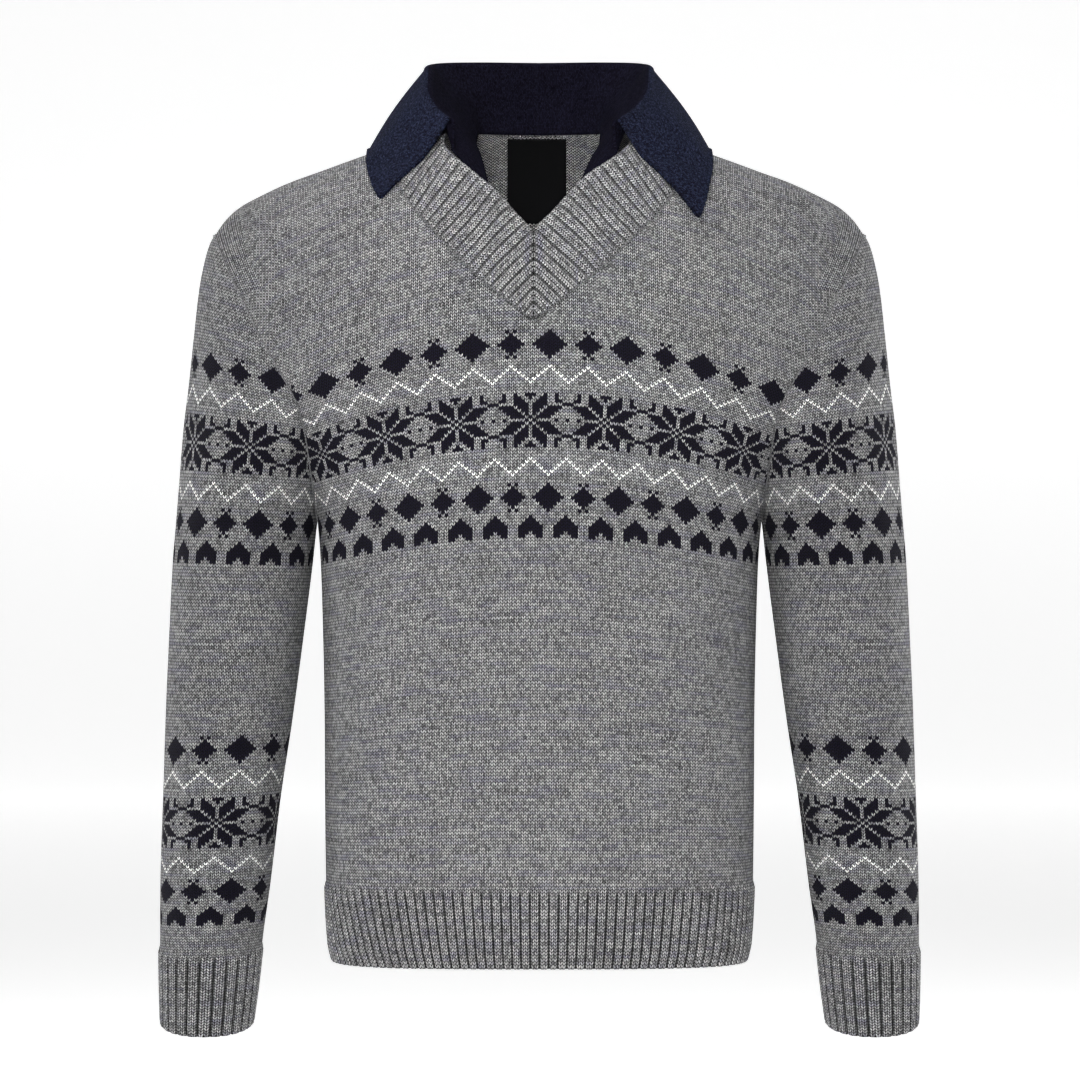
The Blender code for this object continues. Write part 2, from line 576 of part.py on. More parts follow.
class Panel:
    """The front or the back, laid out flat between its seams and then carried by the body's form."""

    def __init__(self, face, neckline, creases):
        self.face = face
        self.neckline = neckline
        self.creases = creases
        self.neck_levels = ROW_LEVELS[-len(neckline):]
        self.half_width = read(BODY, "half_width", UNDERARM_LEVEL)

    def surface(self, low, high):
        """The outer face between two shares of the width."""
        return Surface(self.place, (low, high, HEM_LEVEL, TOP), self.settle)

    def middle(self, v):
        """The panel's middle or its neck edge, as (distance across, climb)."""
        levels = self.neck_levels
        if v <= levels[0]:
            share = (v - UNDERARM_LEVEL) / (levels[0] - UNDERARM_LEVEL)
            return (0.0, lerp(UNDERARM_LEVEL - CHEST_LEVEL, self.neckline[0][1], share))
        k = min(bisect_right(levels, v) - 1, len(levels) - 2)
        share = (v - levels[k]) / (levels[k + 1] - levels[k])
        return tuple(lerp(a, b, share) for a, b in zip(self.neckline[k], self.neckline[k + 1]))

    def place(self, u, v):
        """A point of the outer face. u runs out from the middle to either seam, v is the level at the armhole."""
        side = min(abs(u), 1.0)
        if v <= UNDERARM_LEVEL:
            across, climb, drawn = read(BODY, "half_width", v) * share_across(side), v - CHEST_LEVEL, 0.0
        else:
            start, end = self.middle(v), armhole_place(v)
            even = lerp(share_across(side), side, min(1.0, (v - UNDERARM_LEVEL) / (CHEST_LEVEL - UNDERARM_LEVEL)))
            across, climb = (lerp(a, b, even) for a, b in zip(start, end))
            rise = min(1.0, (v - UNDERARM_LEVEL) / (self.neck_levels[0] - UNDERARM_LEVEL))
            drawn = lean(across) * rise if self.face == FRONT else 0.0
        point = form(math.copysign(across, u) + drawn, climb, self.face)
        depth = read(BODY, column_of(self.face), point.z)
        point.y -= self.face * crease_depth(self.creases, (across, point.z)) * min(abs(point.y) / depth * 1.3, 1.0)
        point.y += self.face * SEAM_GAP / 2
        if self.face == BACK:
            point.x = -point.x
        return point

    def settle(self, direction, u, v):
        """Keeps the side seams and the shoulder seams flush, and the hem's edge level."""
        if v == TOP or abs(u) == 1.0 and v <= UNDERARM_LEVEL:
            direction.y = 0.0
        if v == HEM_LEVEL:
            direction.z = 0.0
        return direction

    def rib_edges(self):
        """Places across that split the top of the hem rib into even ribs."""
        samples = spread(-1.0, 1.0, 800)
        steps = even_steps([self.place(u, HEM_RIB_TOP) for u in samples], HEM_RIBS)
        return [-1.0] + [lerp(-1.0, 1.0, step / 800) for step in steps[1:-1]] + [1.0]

    def body_rows(self, edges, ribbed):
        """The outer and the inner rows from the hem up to the foot of the neck."""
        plain = spread(-1.0, 0.0, PLACES_ACROSS) + spread(0.0, 1.0, PLACES_ACROSS)[1:]
        coarse = plain[::2]
        levels = tuple(level for level in ROW_LEVELS if level <= self.neck_levels[0])
        outer = [row(level, ribbed) for level in HEM_EDGE_LEVELS] + [row(HEM_RIB_TOP, edges)]
        outer += [row(level, plain) for level in SIDE_LEVELS + levels]
        inner = [row(HEM_LEVEL, edges), row(HEM_RIB_TOP, coarse)]
        inner += [row(level, coarse) for level in SIDE_LEVELS[1::2]]
        inner += [row(level, coarse) for level in levels]
        return outer, inner

    def make(self, name):
        """The panel with its hem rib."""
        edges = self.rib_edges()
        ribbed = rib_places(edges)
        raised = crests(ribbed)

        def relief(u, v):
            if v >= HEM_RIB_TOP or u not in raised:
                return 0.0
            return RIB_RISE * (0.55 if v == HEM_LEVEL else 1.0)

        wall = Wall(WALL, relief)
        rows = self.body_rows(edges, ribbed)
        body = wall.add_sheet(self.surface(-1.0, 1.0), *rows)
        wall.close(body[1][0], body[0][0])
        for low, high in ((-1.0, -0.0), (0.0, 1.0)):
            over = [row(level, spread(low, high, PLACES_OVER)) for level in self.neck_levels[1:]]
            start = [[[pair for pair in skin[-1] if low <= pair[0] <= high]] for skin in body]
            strip = wall.add_sheet(self.surface(low, high), over, over, start)
            wall.close(strip[0][-1], strip[1][-1])
            side, neck = (-1, 0) if high > 0 else (0, -1)
            lines = [row(self.neck_levels[0], ())] + over
            neck_edges = [side_edge(skin, lines, neck) for skin in strip]
            side_edges = [side_edge(whole[:-1] + skin, list(part[:-1]) + lines, side)
                          for whole, part, skin in zip(body, rows, strip)]
            if high > 0:
                wall.close(side_edges[1], side_edges[0])
                wall.close(neck_edges[0], neck_edges[1])
            else:
                wall.close(side_edges[0], side_edges[1])
                wall.close(neck_edges[1], neck_edges[0])
        return wall.build(name)


# ---------------------------------------------------------------- sleeves

CUFF_EDGE_LEVELS = (SLEEVE[0].level, SLEEVE[0].level + 0.003, CUFF_RIB_TOP - RIB_RAMP)
ARM_LEVELS = (-0.600, -0.570, -0.540, -0.510, -0.482, -0.466, -0.450, -0.434, -0.418, -0.395, -0.370, -0.350,
              -0.332, -0.314, UNDERARM_LEVEL)
CAP_COUNTS = (22, 20, 18, 16, 13, 10, 6, 1)     # places round the last rows, up to the shoulder tip


def seam_point(level, face):
    """The armhole seam at a level, on the panel's edge, moved out by the seam's gap."""
    point = form(*armhole_place(level), face)
    return point + Vector((SEAM_GAP, face * SEAM_GAP / 2, 0.0))


def squared(value, power):
    """A power of a value that keeps its sign."""
    return math.copysign(abs(value) ** power, value)


def opening_angle(level, centre, half):
    """Half the angle of a sleeve's section that its cloth covers, from the outer side to the seam."""
    if level <= UNDERARM_LEVEL:
        return math.pi
    cosine = (read(ARMHOLE, "across", level) - centre) / half
    return math.acos(squared(max(-1.0, min(1.0, cosine)), SLEEVE_FULLNESS / 2))


def sleeve_place(u, level):
    """A point on the outer face of the +X sleeve. u runs round from the front seam by the outer side to the back."""
    outer, inner = read(SLEEVE, "outer", level), read(SLEEVE, "inner", level)
    middle = read(SLEEVE, "middle", level)
    centre, half = (outer + inner) / 2, (outer - inner) / 2
    limit = opening_angle(level, centre, half)
    angle = lerp(-limit, limit, u)
    power = 2 / SLEEVE_FULLNESS
    dent = crease_depth(SLEEVE_CREASES, (u, level), (0.33, 1.0))
    depth = read(SLEEVE, "half_depth", level)
    point = Vector((centre + squared(math.cos(angle), power) * (half - dent),
                    middle + squared(math.sin(angle), power) * (depth - dent), level))
    if level > UNDERARM_LEVEL:
        face = FRONT if angle < 0 else BACK
        end = Vector((centre + squared(math.cos(limit), power) * half,
                      middle + face * abs(math.sin(limit)) ** power * depth, level))
        point += (seam_point(level, face) - end) * (abs(angle) / limit) ** SEAM_REACH
    point.z += read(SLEEVE, "tilt", level) * (point.y - middle)
    return point


def sleeve_surface(side):
    """The outer face of the sleeve on the +X side, or its mirror image."""

    def place(u, v):
        point = sleeve_place(u if side > 0 else 1 - u, v)
        return Vector((side * point.x, point.y, point.z))

    def settle(direction, u, v):
        if v <= CAP_LEVEL:
            return direction
        cap = Vector((side * CAP_DIRECTION[0], CAP_DIRECTION[1], CAP_DIRECTION[2]))
        return direction.lerp(cap, (v - CAP_LEVEL) / (TOP - CAP_LEVEL))

    return Surface(place, (0.0, 1.0, SLEEVE[0].level, TOP), settle)


def make_sleeve(name, side):
    """A sleeve with its cuff rib."""
    edges = spread(0.0, 1.0, CUFF_RIBS)
    ribbed = rib_places(edges)
    raised = crests(ribbed)

    def relief(u, v):
        if v >= CUFF_RIB_TOP or u not in raised:
            return 0.0
        return RIB_RISE * (0.55 if v == CUFF_EDGE_LEVELS[0] else 1.0)

    levels = ROW_LEVELS[1:]
    outer = [row(level, ribbed, True) for level in CUFF_EDGE_LEVELS]
    outer += [row(level, edges, True) for level in (CUFF_RIB_TOP,) + ARM_LEVELS]
    outer += [row(level, edges) for level in levels[:-8]]
    outer += [row(level, spread(0.0, 1.0, count)) for level, count in zip(levels[-8:], CAP_COUNTS)]
    coarse = spread(0.0, 1.0, 18)
    inner = [row(CUFF_EDGE_LEVELS[0], edges, True)]
    arm = ARM_LEVELS[2:4] + ARM_LEVELS[5:9] + ARM_LEVELS[10:-1]
    inner += [row(level, coarse, True) for level in (CUFF_RIB_TOP,) + arm]
    inner += [row(UNDERARM_LEVEL, edges, True)] + [row(level, edges) for level in levels[:2]]
    inner += [row(level, coarse) for level in levels[3:-7:2]]
    inner += [row(level, spread(0.0, 1.0, count)) for level, count in zip(levels[-7::2], (14, 12, 8, 1))]
    return make_wall(name, sleeve_surface(side), outer, inner, WALL, relief)


# ---------------------------------------------------------------- neckband

def neckband_surface(side):
    """The outer face of one half of the neckband. u runs across it, v runs up from the mitre's foot."""
    last = NECKBAND[-1].station
    turn = last - NECKBAND[MITRE_STATION].station

    def place(u, v):
        start, end = free_edge(last - v), seam_edge(last - v)
        share = u if side > 0 else 1 - u
        across, climb = lerp(start[0], end[0], share), lerp(start[1], end[1], share)
        point = form(side * across + lean(across), climb, FRONT)
        return point + Vector((side * SEAM_GAP / 2, -SEAM_GAP / 2, 0.0))

    def settle(direction, u, v):
        if v <= turn and u == (0.0 if side > 0 else 1.0):
            direction.x = 0.0
        if v == last:
            direction.y = 0.0
        return direction

    return Surface(place, (0.0, 1.0, 0.0, last), settle)


def make_neckband(name, side):
    """One half of the ribbed neckband, from the mitre to the shoulder seam."""
    last = NECKBAND[-1].station
    edges = [last - station for station in neckband_stations()]
    ribbed = rib_places(edges)
    raised = crests(ribbed)
    outer = [row(v, spread(0.0, 1.0, 4)) for v in ribbed]
    inner = [row(v, spread(0.0, 1.0, 3)) for v in edges]
    return make_wall(name, neckband_surface(side), outer, inner, WALL, lambda u, v: RIB_RISE if v in raised else 0.0)


# ---------------------------------------------------------------- collar

COLLAR_SHARES = (0.0, 0.12, 0.24, 0.34, 0.43, 0.51, 0.59, 0.67, 0.75, 0.82, 0.88, 0.94, 1.0)
STAND_SHARES = (0.0, 0.5, 1.0, 1.55)
FALL_SHARES = (0.2, 0.4, 0.6, 0.8)


def clear_of_shoulders(point):
    """Lifts a point of the fall until the cloth under it clears the shoulders and the neckband's ribs."""
    step = 0.001
    height = shoulder_height(point.x, point.y)
    aside = shoulder_height(point.x + step, point.y) - height
    ahead = shoulder_height(point.x, point.y - step) - height
    steepness = math.hypot(1.0, aside / step, ahead / step)
    point.z = max(point.z, height + COLLAR_CLEARANCE * steepness)
    return point


def longer_leaf(share):
    """How far the leaf on one side reaches below the other."""
    return Vector(LONGER_LEAF) * max(0.0, (share - 0.7) / 0.3) ** 2


def collar_section(share):
    """The collar's section at a share of its length, from the stand's foot over the roll to the fall's edge."""
    at = min(abs(share), 1.0)
    seat, middle, roll, edge = (read_point(COLLAR, column, at) for column in ("seat", "middle", "roll", "edge"))
    edge += longer_leaf(share)
    outward = Vector((edge.x - middle.x, edge.y - middle.y, 0.0)).normalized()
    centre = roll - Vector((0.0, 0.0, ROLL_RADIUS))
    bend = [centre - outward * (math.cos(turn) * ROLL_RADIUS) + Vector((0.0, 0.0, math.sin(turn) * ROLL_RADIUS))
            for turn in spread(0.0, math.pi, 4)]
    stand = [lerp(seat, middle, part) if part <= 1 else lerp(middle, bend[0], part - 1) for part in STAND_SHARES]
    fall = [lerp(bend[-1], edge, part) + outward * (FALL_BULGE * math.sin(math.pi * part)) for part in FALL_SHARES]
    line = stand + bend + [clear_of_shoulders(point) for point in fall + [edge]]
    drawn = max(0.0, (at - 0.5) / 0.5)
    return [Vector((math.copysign(point.x, share) + lean(point.x) * drawn, point.y, point.z)) for point in line]


def collar_surface():
    """The stand's inner face and the fall's outer face. u runs round the neck, v counts the section's points."""
    sections = {}

    def place(u, v):
        if u not in sections:
            sections[u] = collar_section(u)
        k = min(int(v), len(sections[u]) - 2)
        return lerp(sections[u][k], sections[u][k + 1], v - k)

    return Surface(place, (-1.0, 1.0, 0.0, len(collar_section(0.0)) - 1.0))


def make_collar(name):
    """The turn-down collar, stand and fall in one."""
    surface = collar_surface()
    lengths = [-share for share in reversed(COLLAR_SHARES[1:])] + list(COLLAR_SHARES)
    rows = [row(float(step), lengths) for step in range(int(surface.limits[3]) + 1)]
    return make_wall(name, surface, rows, rows, COLLAR_WALL)


# ---------------------------------------------------------------- label

def make_label(name):
    """The neck label, on the inside of the back."""
    back = Surface(lambda u, v: form(u, climb_to(u, v), BACK), (-1.0, 1.0, -1.0, BACK_NECK_LEVEL))

    def place(u, v):
        across, level = LABEL_CENTRE + LABEL_WIDTH * (u - 0.5), LABEL_TOP - LABEL_HEIGHT * (1 - v)
        return back.place(across, level) + back.outward(across, level) * (WALL + LABEL_GAP + LABEL_WALL)

    rows = [row(v, spread(0.0, 1.0, 6)) for v in spread(0.0, 1.0, 8)]
    return make_wall(name, Surface(place, (0.0, 1.0, 0.0, 1.0)), rows, rows, LABEL_WALL)


# ---------------------------------------------------------------- the whole garment

def make_material(name, paint):
    """A plain material of one colour."""
    material = bpy.data.materials.new(name)
    material.use_nodes = True
    shader = material.node_tree.nodes["Principled BSDF"]
    shader.inputs["Base Color"].default_value = (*paint.color, 1.0)
    shader.inputs["Roughness"].default_value = paint.roughness
    shader.inputs["Metallic"].default_value = 0.0
    return material


def dress(piece, paint, collection):
    """Gives a piece its own material and a place in the collection."""
    piece.data.materials.append(make_material(piece.name + "_cloth", paint))
    collection.objects.link(piece)


def main():
    """Clears the scene and builds the pullover."""
    for old in list(bpy.data.objects):
        bpy.data.objects.remove(old)
    collection = bpy.data.collections.new("collared_pullover")
    bpy.context.scene.collection.children.link(collection)
    dress(Panel(FRONT, front_neckline(), FRONT_CREASES).make("front"), GREY_YARN, collection)
    dress(Panel(BACK, back_neckline(), BACK_CREASES).make("back"), GREY_YARN, collection)
    dress(make_sleeve("sleeve_left", 1), GREY_YARN, collection)
    dress(make_sleeve("sleeve_right", -1), GREY_YARN, collection)
    dress(make_neckband("neckband_left", 1), RIB_YARN, collection)
    dress(make_neckband("neckband_right", -1), RIB_YARN, collection)
    dress(make_collar("collar"), NAVY_YARN, collection)
    dress(make_label("label"), LABEL_BLACK, collection)


main()
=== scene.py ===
"""The looks of a knitted V-neck pullover with a turn-down collar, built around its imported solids.

Frame: metres, +X to the wearer's left, -Y to the front, +Z up. The origin is the middle of the neck base.
Each piece is a thin shell of cloth on the form of its solid. It carries its own stitches as coordinates: the
first counts wales across, the second counts courses down from the middle of the star band.
"""

import logging
import math
from dataclasses import dataclass, field
from enum import Enum
from typing import Any, Callable, Iterable, Sequence, Union

import bpy
import numpy as np
from bpy.types import Material, NodeSocket, NodeTree, Object
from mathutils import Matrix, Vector


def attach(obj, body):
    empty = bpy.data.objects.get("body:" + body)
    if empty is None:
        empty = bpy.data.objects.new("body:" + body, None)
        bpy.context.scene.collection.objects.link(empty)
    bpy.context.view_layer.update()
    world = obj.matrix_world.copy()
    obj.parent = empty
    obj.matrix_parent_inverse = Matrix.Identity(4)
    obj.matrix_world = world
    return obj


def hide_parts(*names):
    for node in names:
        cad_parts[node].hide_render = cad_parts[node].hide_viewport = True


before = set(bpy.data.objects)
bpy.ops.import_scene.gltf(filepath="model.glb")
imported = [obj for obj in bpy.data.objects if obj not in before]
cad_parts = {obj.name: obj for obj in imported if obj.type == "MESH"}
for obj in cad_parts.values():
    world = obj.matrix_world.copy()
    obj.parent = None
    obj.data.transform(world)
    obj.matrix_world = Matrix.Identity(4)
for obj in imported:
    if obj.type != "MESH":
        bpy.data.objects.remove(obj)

Array = np.ndarray
Number = Union[float, int, "Value"]
LOG = logging.getLogger("pullover")
BODY = "root"
WALL = 0.0022                       # how thick the knit is
NO_EDGE = (99.0, 0.0)               # the edge coordinates of cloth that is far from a fashioned edge
FASHIONED_WALES = 6                 # how many wales run along the armhole where the cloth is fashioned
FASHIONED_RUN = (-204.0, -186.0, -156.0, -143.0)    # courses where their lines start, are full, fade and end
CAP_START = -0.180                  # above this level at the armhole, rows are spread by the seam's length


class Way(Enum):
    """A way from the garment's middle, by its sign."""

    @property
    def word(self) -> str:
        """Its name in pieces, nodes and the columns of tables."""
        return self.name.lower()


class Side(Way):
    """A face of the garment, by the sign of its depth."""

    FRONT = -1
    BACK = 1


class Hand(Way):
    """A side of the garment, by the sign of its distance across. LEFT is the wearer's left."""

    RIGHT = -1
    LEFT = 1


# ---------------- tables and curves

def smooth_curve(knots: Sequence[float], values: Sequence[float], place: Any) -> Array:
    """Reads a smooth curve through values at rising knots, flat where the values turn round.

    Args:
        knots: The rising places of the values.
        values: The value at each knot.
        place: Where to read, of any shape. It is kept between the first and the last knot.

    Returns:
        The values there.
    """
    at, heights = np.asarray(knots, float), np.asarray(values, float)
    steps = np.diff(heights) / np.diff(at)
    before, after = steps[:-1], steps[1:]
    turning = before * after <= 0
    inner = np.where(turning, 0.0, 2 * before * after / np.where(turning, 1.0, before + after))
    slopes = np.concatenate((steps[:1], inner, steps[-1:]))
    place = np.clip(np.asarray(place, float), at[0], at[-1])
    i = np.clip(np.searchsorted(at, place, side="right") - 1, 0, len(at) - 2)
    span = at[i + 1] - at[i]
    t = (place - at[i]) / span
    rest = (1 - t) ** 2
    return (heights[i] * (1 + 2 * t) * rest + slopes[i] * span * t * rest
            + heights[i + 1] * t * t * (3 - 2 * t) - slopes[i + 1] * span * t * t * (1 - t))


@dataclass(frozen=True)
class Table:
    """Rows of sizes under named columns, read as smooth curves of the first column."""

    columns: tuple[str, ...]
    rows: tuple[tuple[float, ...], ...]

    def at(self, column: str, place: Any) -> Array:
        """Reads a column at places of the first column."""
        k = self.columns.index(column)
        return smooth_curve([row[0] for row in self.rows], [row[k] for row in self.rows], place)


def lengths_along(points: Array) -> Array:
    """The length from a line's first point to each of its points, which run along the last axis but one."""
    steps = np.linalg.norm(np.diff(points, axis=-2), axis=-1)
    return np.concatenate((np.zeros(steps.shape[:-1] + (1,)), np.cumsum(steps, axis=-1)), axis=-1)


def even_places(points: Array, count: int) -> Array:
    """Splits a line through points into even lengths.

    Args:
        points: The line's points, one a row.
        count: How many lengths.

    Returns:
        count + 1 places along the line, as whole and part indices of its points.
    """
    reached = lengths_along(points)
    return np.interp(np.linspace(0.0, reached[-1], count + 1), reached, np.arange(len(points), dtype=float))


def read_line(points: Array, places: Array) -> Array:
    """Points of a line at whole and part indices."""
    steps = np.arange(len(points), dtype=float)
    return np.stack([np.interp(places, steps, points[:, axis]) for axis in range(points.shape[1])], axis=-1)


def read_grid(grid: Array, row: Array, column: Array) -> Array:
    """Reads a grid of values between its rows and columns."""
    row, column = np.clip(row, 0, grid.shape[0] - 1.001), np.clip(column, 0, grid.shape[1] - 1.001)
    i, j = row.astype(int), column.astype(int)
    s, t = row - i, column - j
    low = grid[i, j] * (1 - t) + grid[i, j + 1] * t
    high = grid[i + 1, j] * (1 - t) + grid[i + 1, j + 1] * t
    return low * (1 - s) + high * s


def signed_power(value: Array, power: float) -> Array:
    """A power of values that keeps their sign."""
    return np.sign(value) * np.abs(value) ** power


# ---------------- the worn form

@dataclass(frozen=True)
class Crease:
    """A soft trough in the cloth, or a ridge if its depth is below zero.

    start and end are (distance across, level) on the body, where distances are below zero on the wearer's
    right, and (share of the way round, level) on a sleeve.
    """

    start: tuple[float, float]
    end: tuple[float, float]
    half_width: float
    depth: float

    def push(self, across: Array, level: Array, stretch: float = 1.0) -> Array:
        """How far the crease pushes places in.

        Args:
            across: The places' first coordinate.
            level: The places' second coordinate.
            stretch: What turns the first coordinate into metres.

        Returns:
            The depth at each place.
        """
        start = np.array([self.start[0] * stretch, self.start[1]])
        run = np.array([self.end[0] * stretch, self.end[1]]) - start
        x, z = across * stretch - start[0], level - start[1]
        share = np.clip((x * run[0] + z * run[1]) / run.dot(run), 0.0, 1.0)
        aside = np.minimum(np.hypot(x - run[0] * share, z - run[1] * share) / self.half_width, 1.0)
        return self.depth * (np.cos(aside * math.pi) + 1) / 2 * np.sin(math.pi * (0.1 + 0.8 * share))


@dataclass(frozen=True)
class BodyForm:
    """The form of the body and its shoulders, by level sections and by a line along the shoulder ridge."""

    chest_level: float = -0.200
    shoulder_turn: float = 0.200
    fullness: float = 2.1
    ridge_depth: float = 0.005
    underarm: float = -0.299
    sections: Table = Table(
        ("level", "half_width", "front", "back", "squareness"),
        ((-0.635, 0.1582, 0.099, 0.092, 3.4), (-0.622, 0.1612, 0.0995, 0.0925, 3.3),
         (-0.5744, 0.1638, 0.1, 0.0925, 3.1), (-0.5, 0.1647, 0.1, 0.09, 2.9),
         (-0.453, 0.165, 0.101, 0.09, 2.8), (-0.345, 0.1674, 0.108, 0.095, 2.7),
         (-0.299, 0.1706, 0.11, 0.098, 2.6), (-0.28, 0.1765, 0.1105, 0.099, 2.5),
         (-0.25, 0.1955, 0.1115, 0.1, 2.3), (-0.215, 0.226, 0.112, 0.101, 2.05),
         (-0.2, 0.24, 0.112, 0.101, 2.0)))
    shoulder: Table = Table(
        ("across", "ridge", "front", "back"),
        ((0.0, 0.045, 0.112, 0.101), (0.03, 0.035, 0.1111, 0.1002), (0.05, 0.018, 0.1095, 0.0988),
         (0.065, 0.009, 0.1078, 0.0972), (0.079, 0.0018, 0.1057, 0.0954), (0.1, -0.0057, 0.1018, 0.0918),
         (0.124, -0.0142, 0.0959, 0.0865), (0.1461, -0.022, 0.0888, 0.0801),
         (0.1703, -0.0308, 0.0789, 0.0712), (0.1925, -0.0388, 0.067, 0.062),
         (0.2159, -0.0497, 0.059, 0.056), (0.2307, -0.0578, 0.054, 0.051),
         (0.2416, -0.0676, 0.048, 0.046), (0.2495, -0.0785, 0.04, 0.039)))
    armhole: Table = Table(
        ("level", "across"),
        ((-0.299, 0.1706), (-0.293, 0.1709), (-0.28, 0.1718), (-0.265, 0.1733), (-0.248, 0.1753),
         (-0.23, 0.178), (-0.212, 0.1828), (-0.195, 0.1915), (-0.178, 0.2015), (-0.16, 0.2118),
         (-0.141, 0.221), (-0.121, 0.2312), (-0.101, 0.2406), (-0.087, 0.2465), (-0.0785, 0.2495)))

    @property
    def tip(self) -> float:
        """The level of the shoulder tip."""
        return self.armhole.rows[-1][0]

    def point(self, across: Any, climb: Any, side: Side) -> Array:
        """Points of the form.

        Args:
            across: Distances across from the centre.
            climb: Distances up the cloth from the chest level, or down if below zero.
            side: The front or the back.

        Returns:
            The points, in the last axis.
        """
        across, climb = np.broadcast_arrays(np.asarray(across, float), np.asarray(climb, float))
        level = self.chest_level + np.minimum(climb, 0.0)
        share = np.minimum(np.abs(across) / self.sections.at("half_width", level), 1.0)
        square = self.sections.at("squareness", level)
        depth = self.sections.at(side.word, level) * (1 - share ** square) ** (1 / square)
        under = np.stack([across, side.value * depth, level], axis=-1)
        turn = np.clip(climb / self.shoulder_turn, 0.0, 1.0) * math.pi / 2
        ridge = self.shoulder.at("ridge", np.abs(across))
        depth = side.value * self.shoulder.at(side.word, np.abs(across))
        rise = np.sin(turn) ** (2 / self.fullness)
        reach = np.maximum(np.cos(turn), 0.0) ** (2 / self.fullness)
        over = np.stack([across, self.ridge_depth + (depth - self.ridge_depth) * reach,
                         self.chest_level + (ridge - self.chest_level) * rise], axis=-1)
        return np.where((climb > 0)[..., None], over, under)

    def climb_to(self, across: Any, level: Any) -> Array:
        """How far up the cloth levels are reached at distances across."""
        ridge = self.shoulder.at("ridge", np.abs(across))
        rise = np.clip((np.asarray(level, float) - self.chest_level) / (ridge - self.chest_level), 0.0, 1.0)
        over = self.shoulder_turn * np.arcsin(rise ** (self.fullness / 2)) / (math.pi / 2)
        return np.where(level <= self.chest_level, level - self.chest_level, over)

    def armhole_place(self, level: Any) -> Array:
        """The armhole seam at levels, as (distance across, climb)."""
        level = np.asarray(level, float)
        across = self.armhole.at("across", level)
        climb = np.where(level >= self.tip, self.shoulder_turn, self.climb_to(across, level))
        return np.stack([across, climb], axis=-1)

    def armhole_levels(self, start: float, count: int) -> Array:
        """Levels from start to the shoulder tip that split the armhole seam into even lengths of cloth."""
        levels = self.tip - (self.tip - start) * (1 - np.linspace(0.0, 1.0, 801)) ** 2
        places = even_places(self.armhole_place(levels), count)
        return np.interp(places, np.arange(len(levels)), levels)

    def shoulder_height(self, across: Array, forward: Array) -> Array:
        """Height of the shoulders over places on the floor plan."""
        front = -self.shoulder.at("front", np.abs(across))
        back = self.shoulder.at("back", np.abs(across))
        depth = np.where(forward < self.ridge_depth, front, back)
        reach = np.clip((forward - self.ridge_depth) / (depth - self.ridge_depth), 0.0, 1.0)
        turn = np.arccos(reach ** (self.fullness / 2))
        ridge = self.shoulder.at("ridge", np.abs(across))
        return self.chest_level + (ridge - self.chest_level) * np.sin(turn) ** (2 / self.fullness)


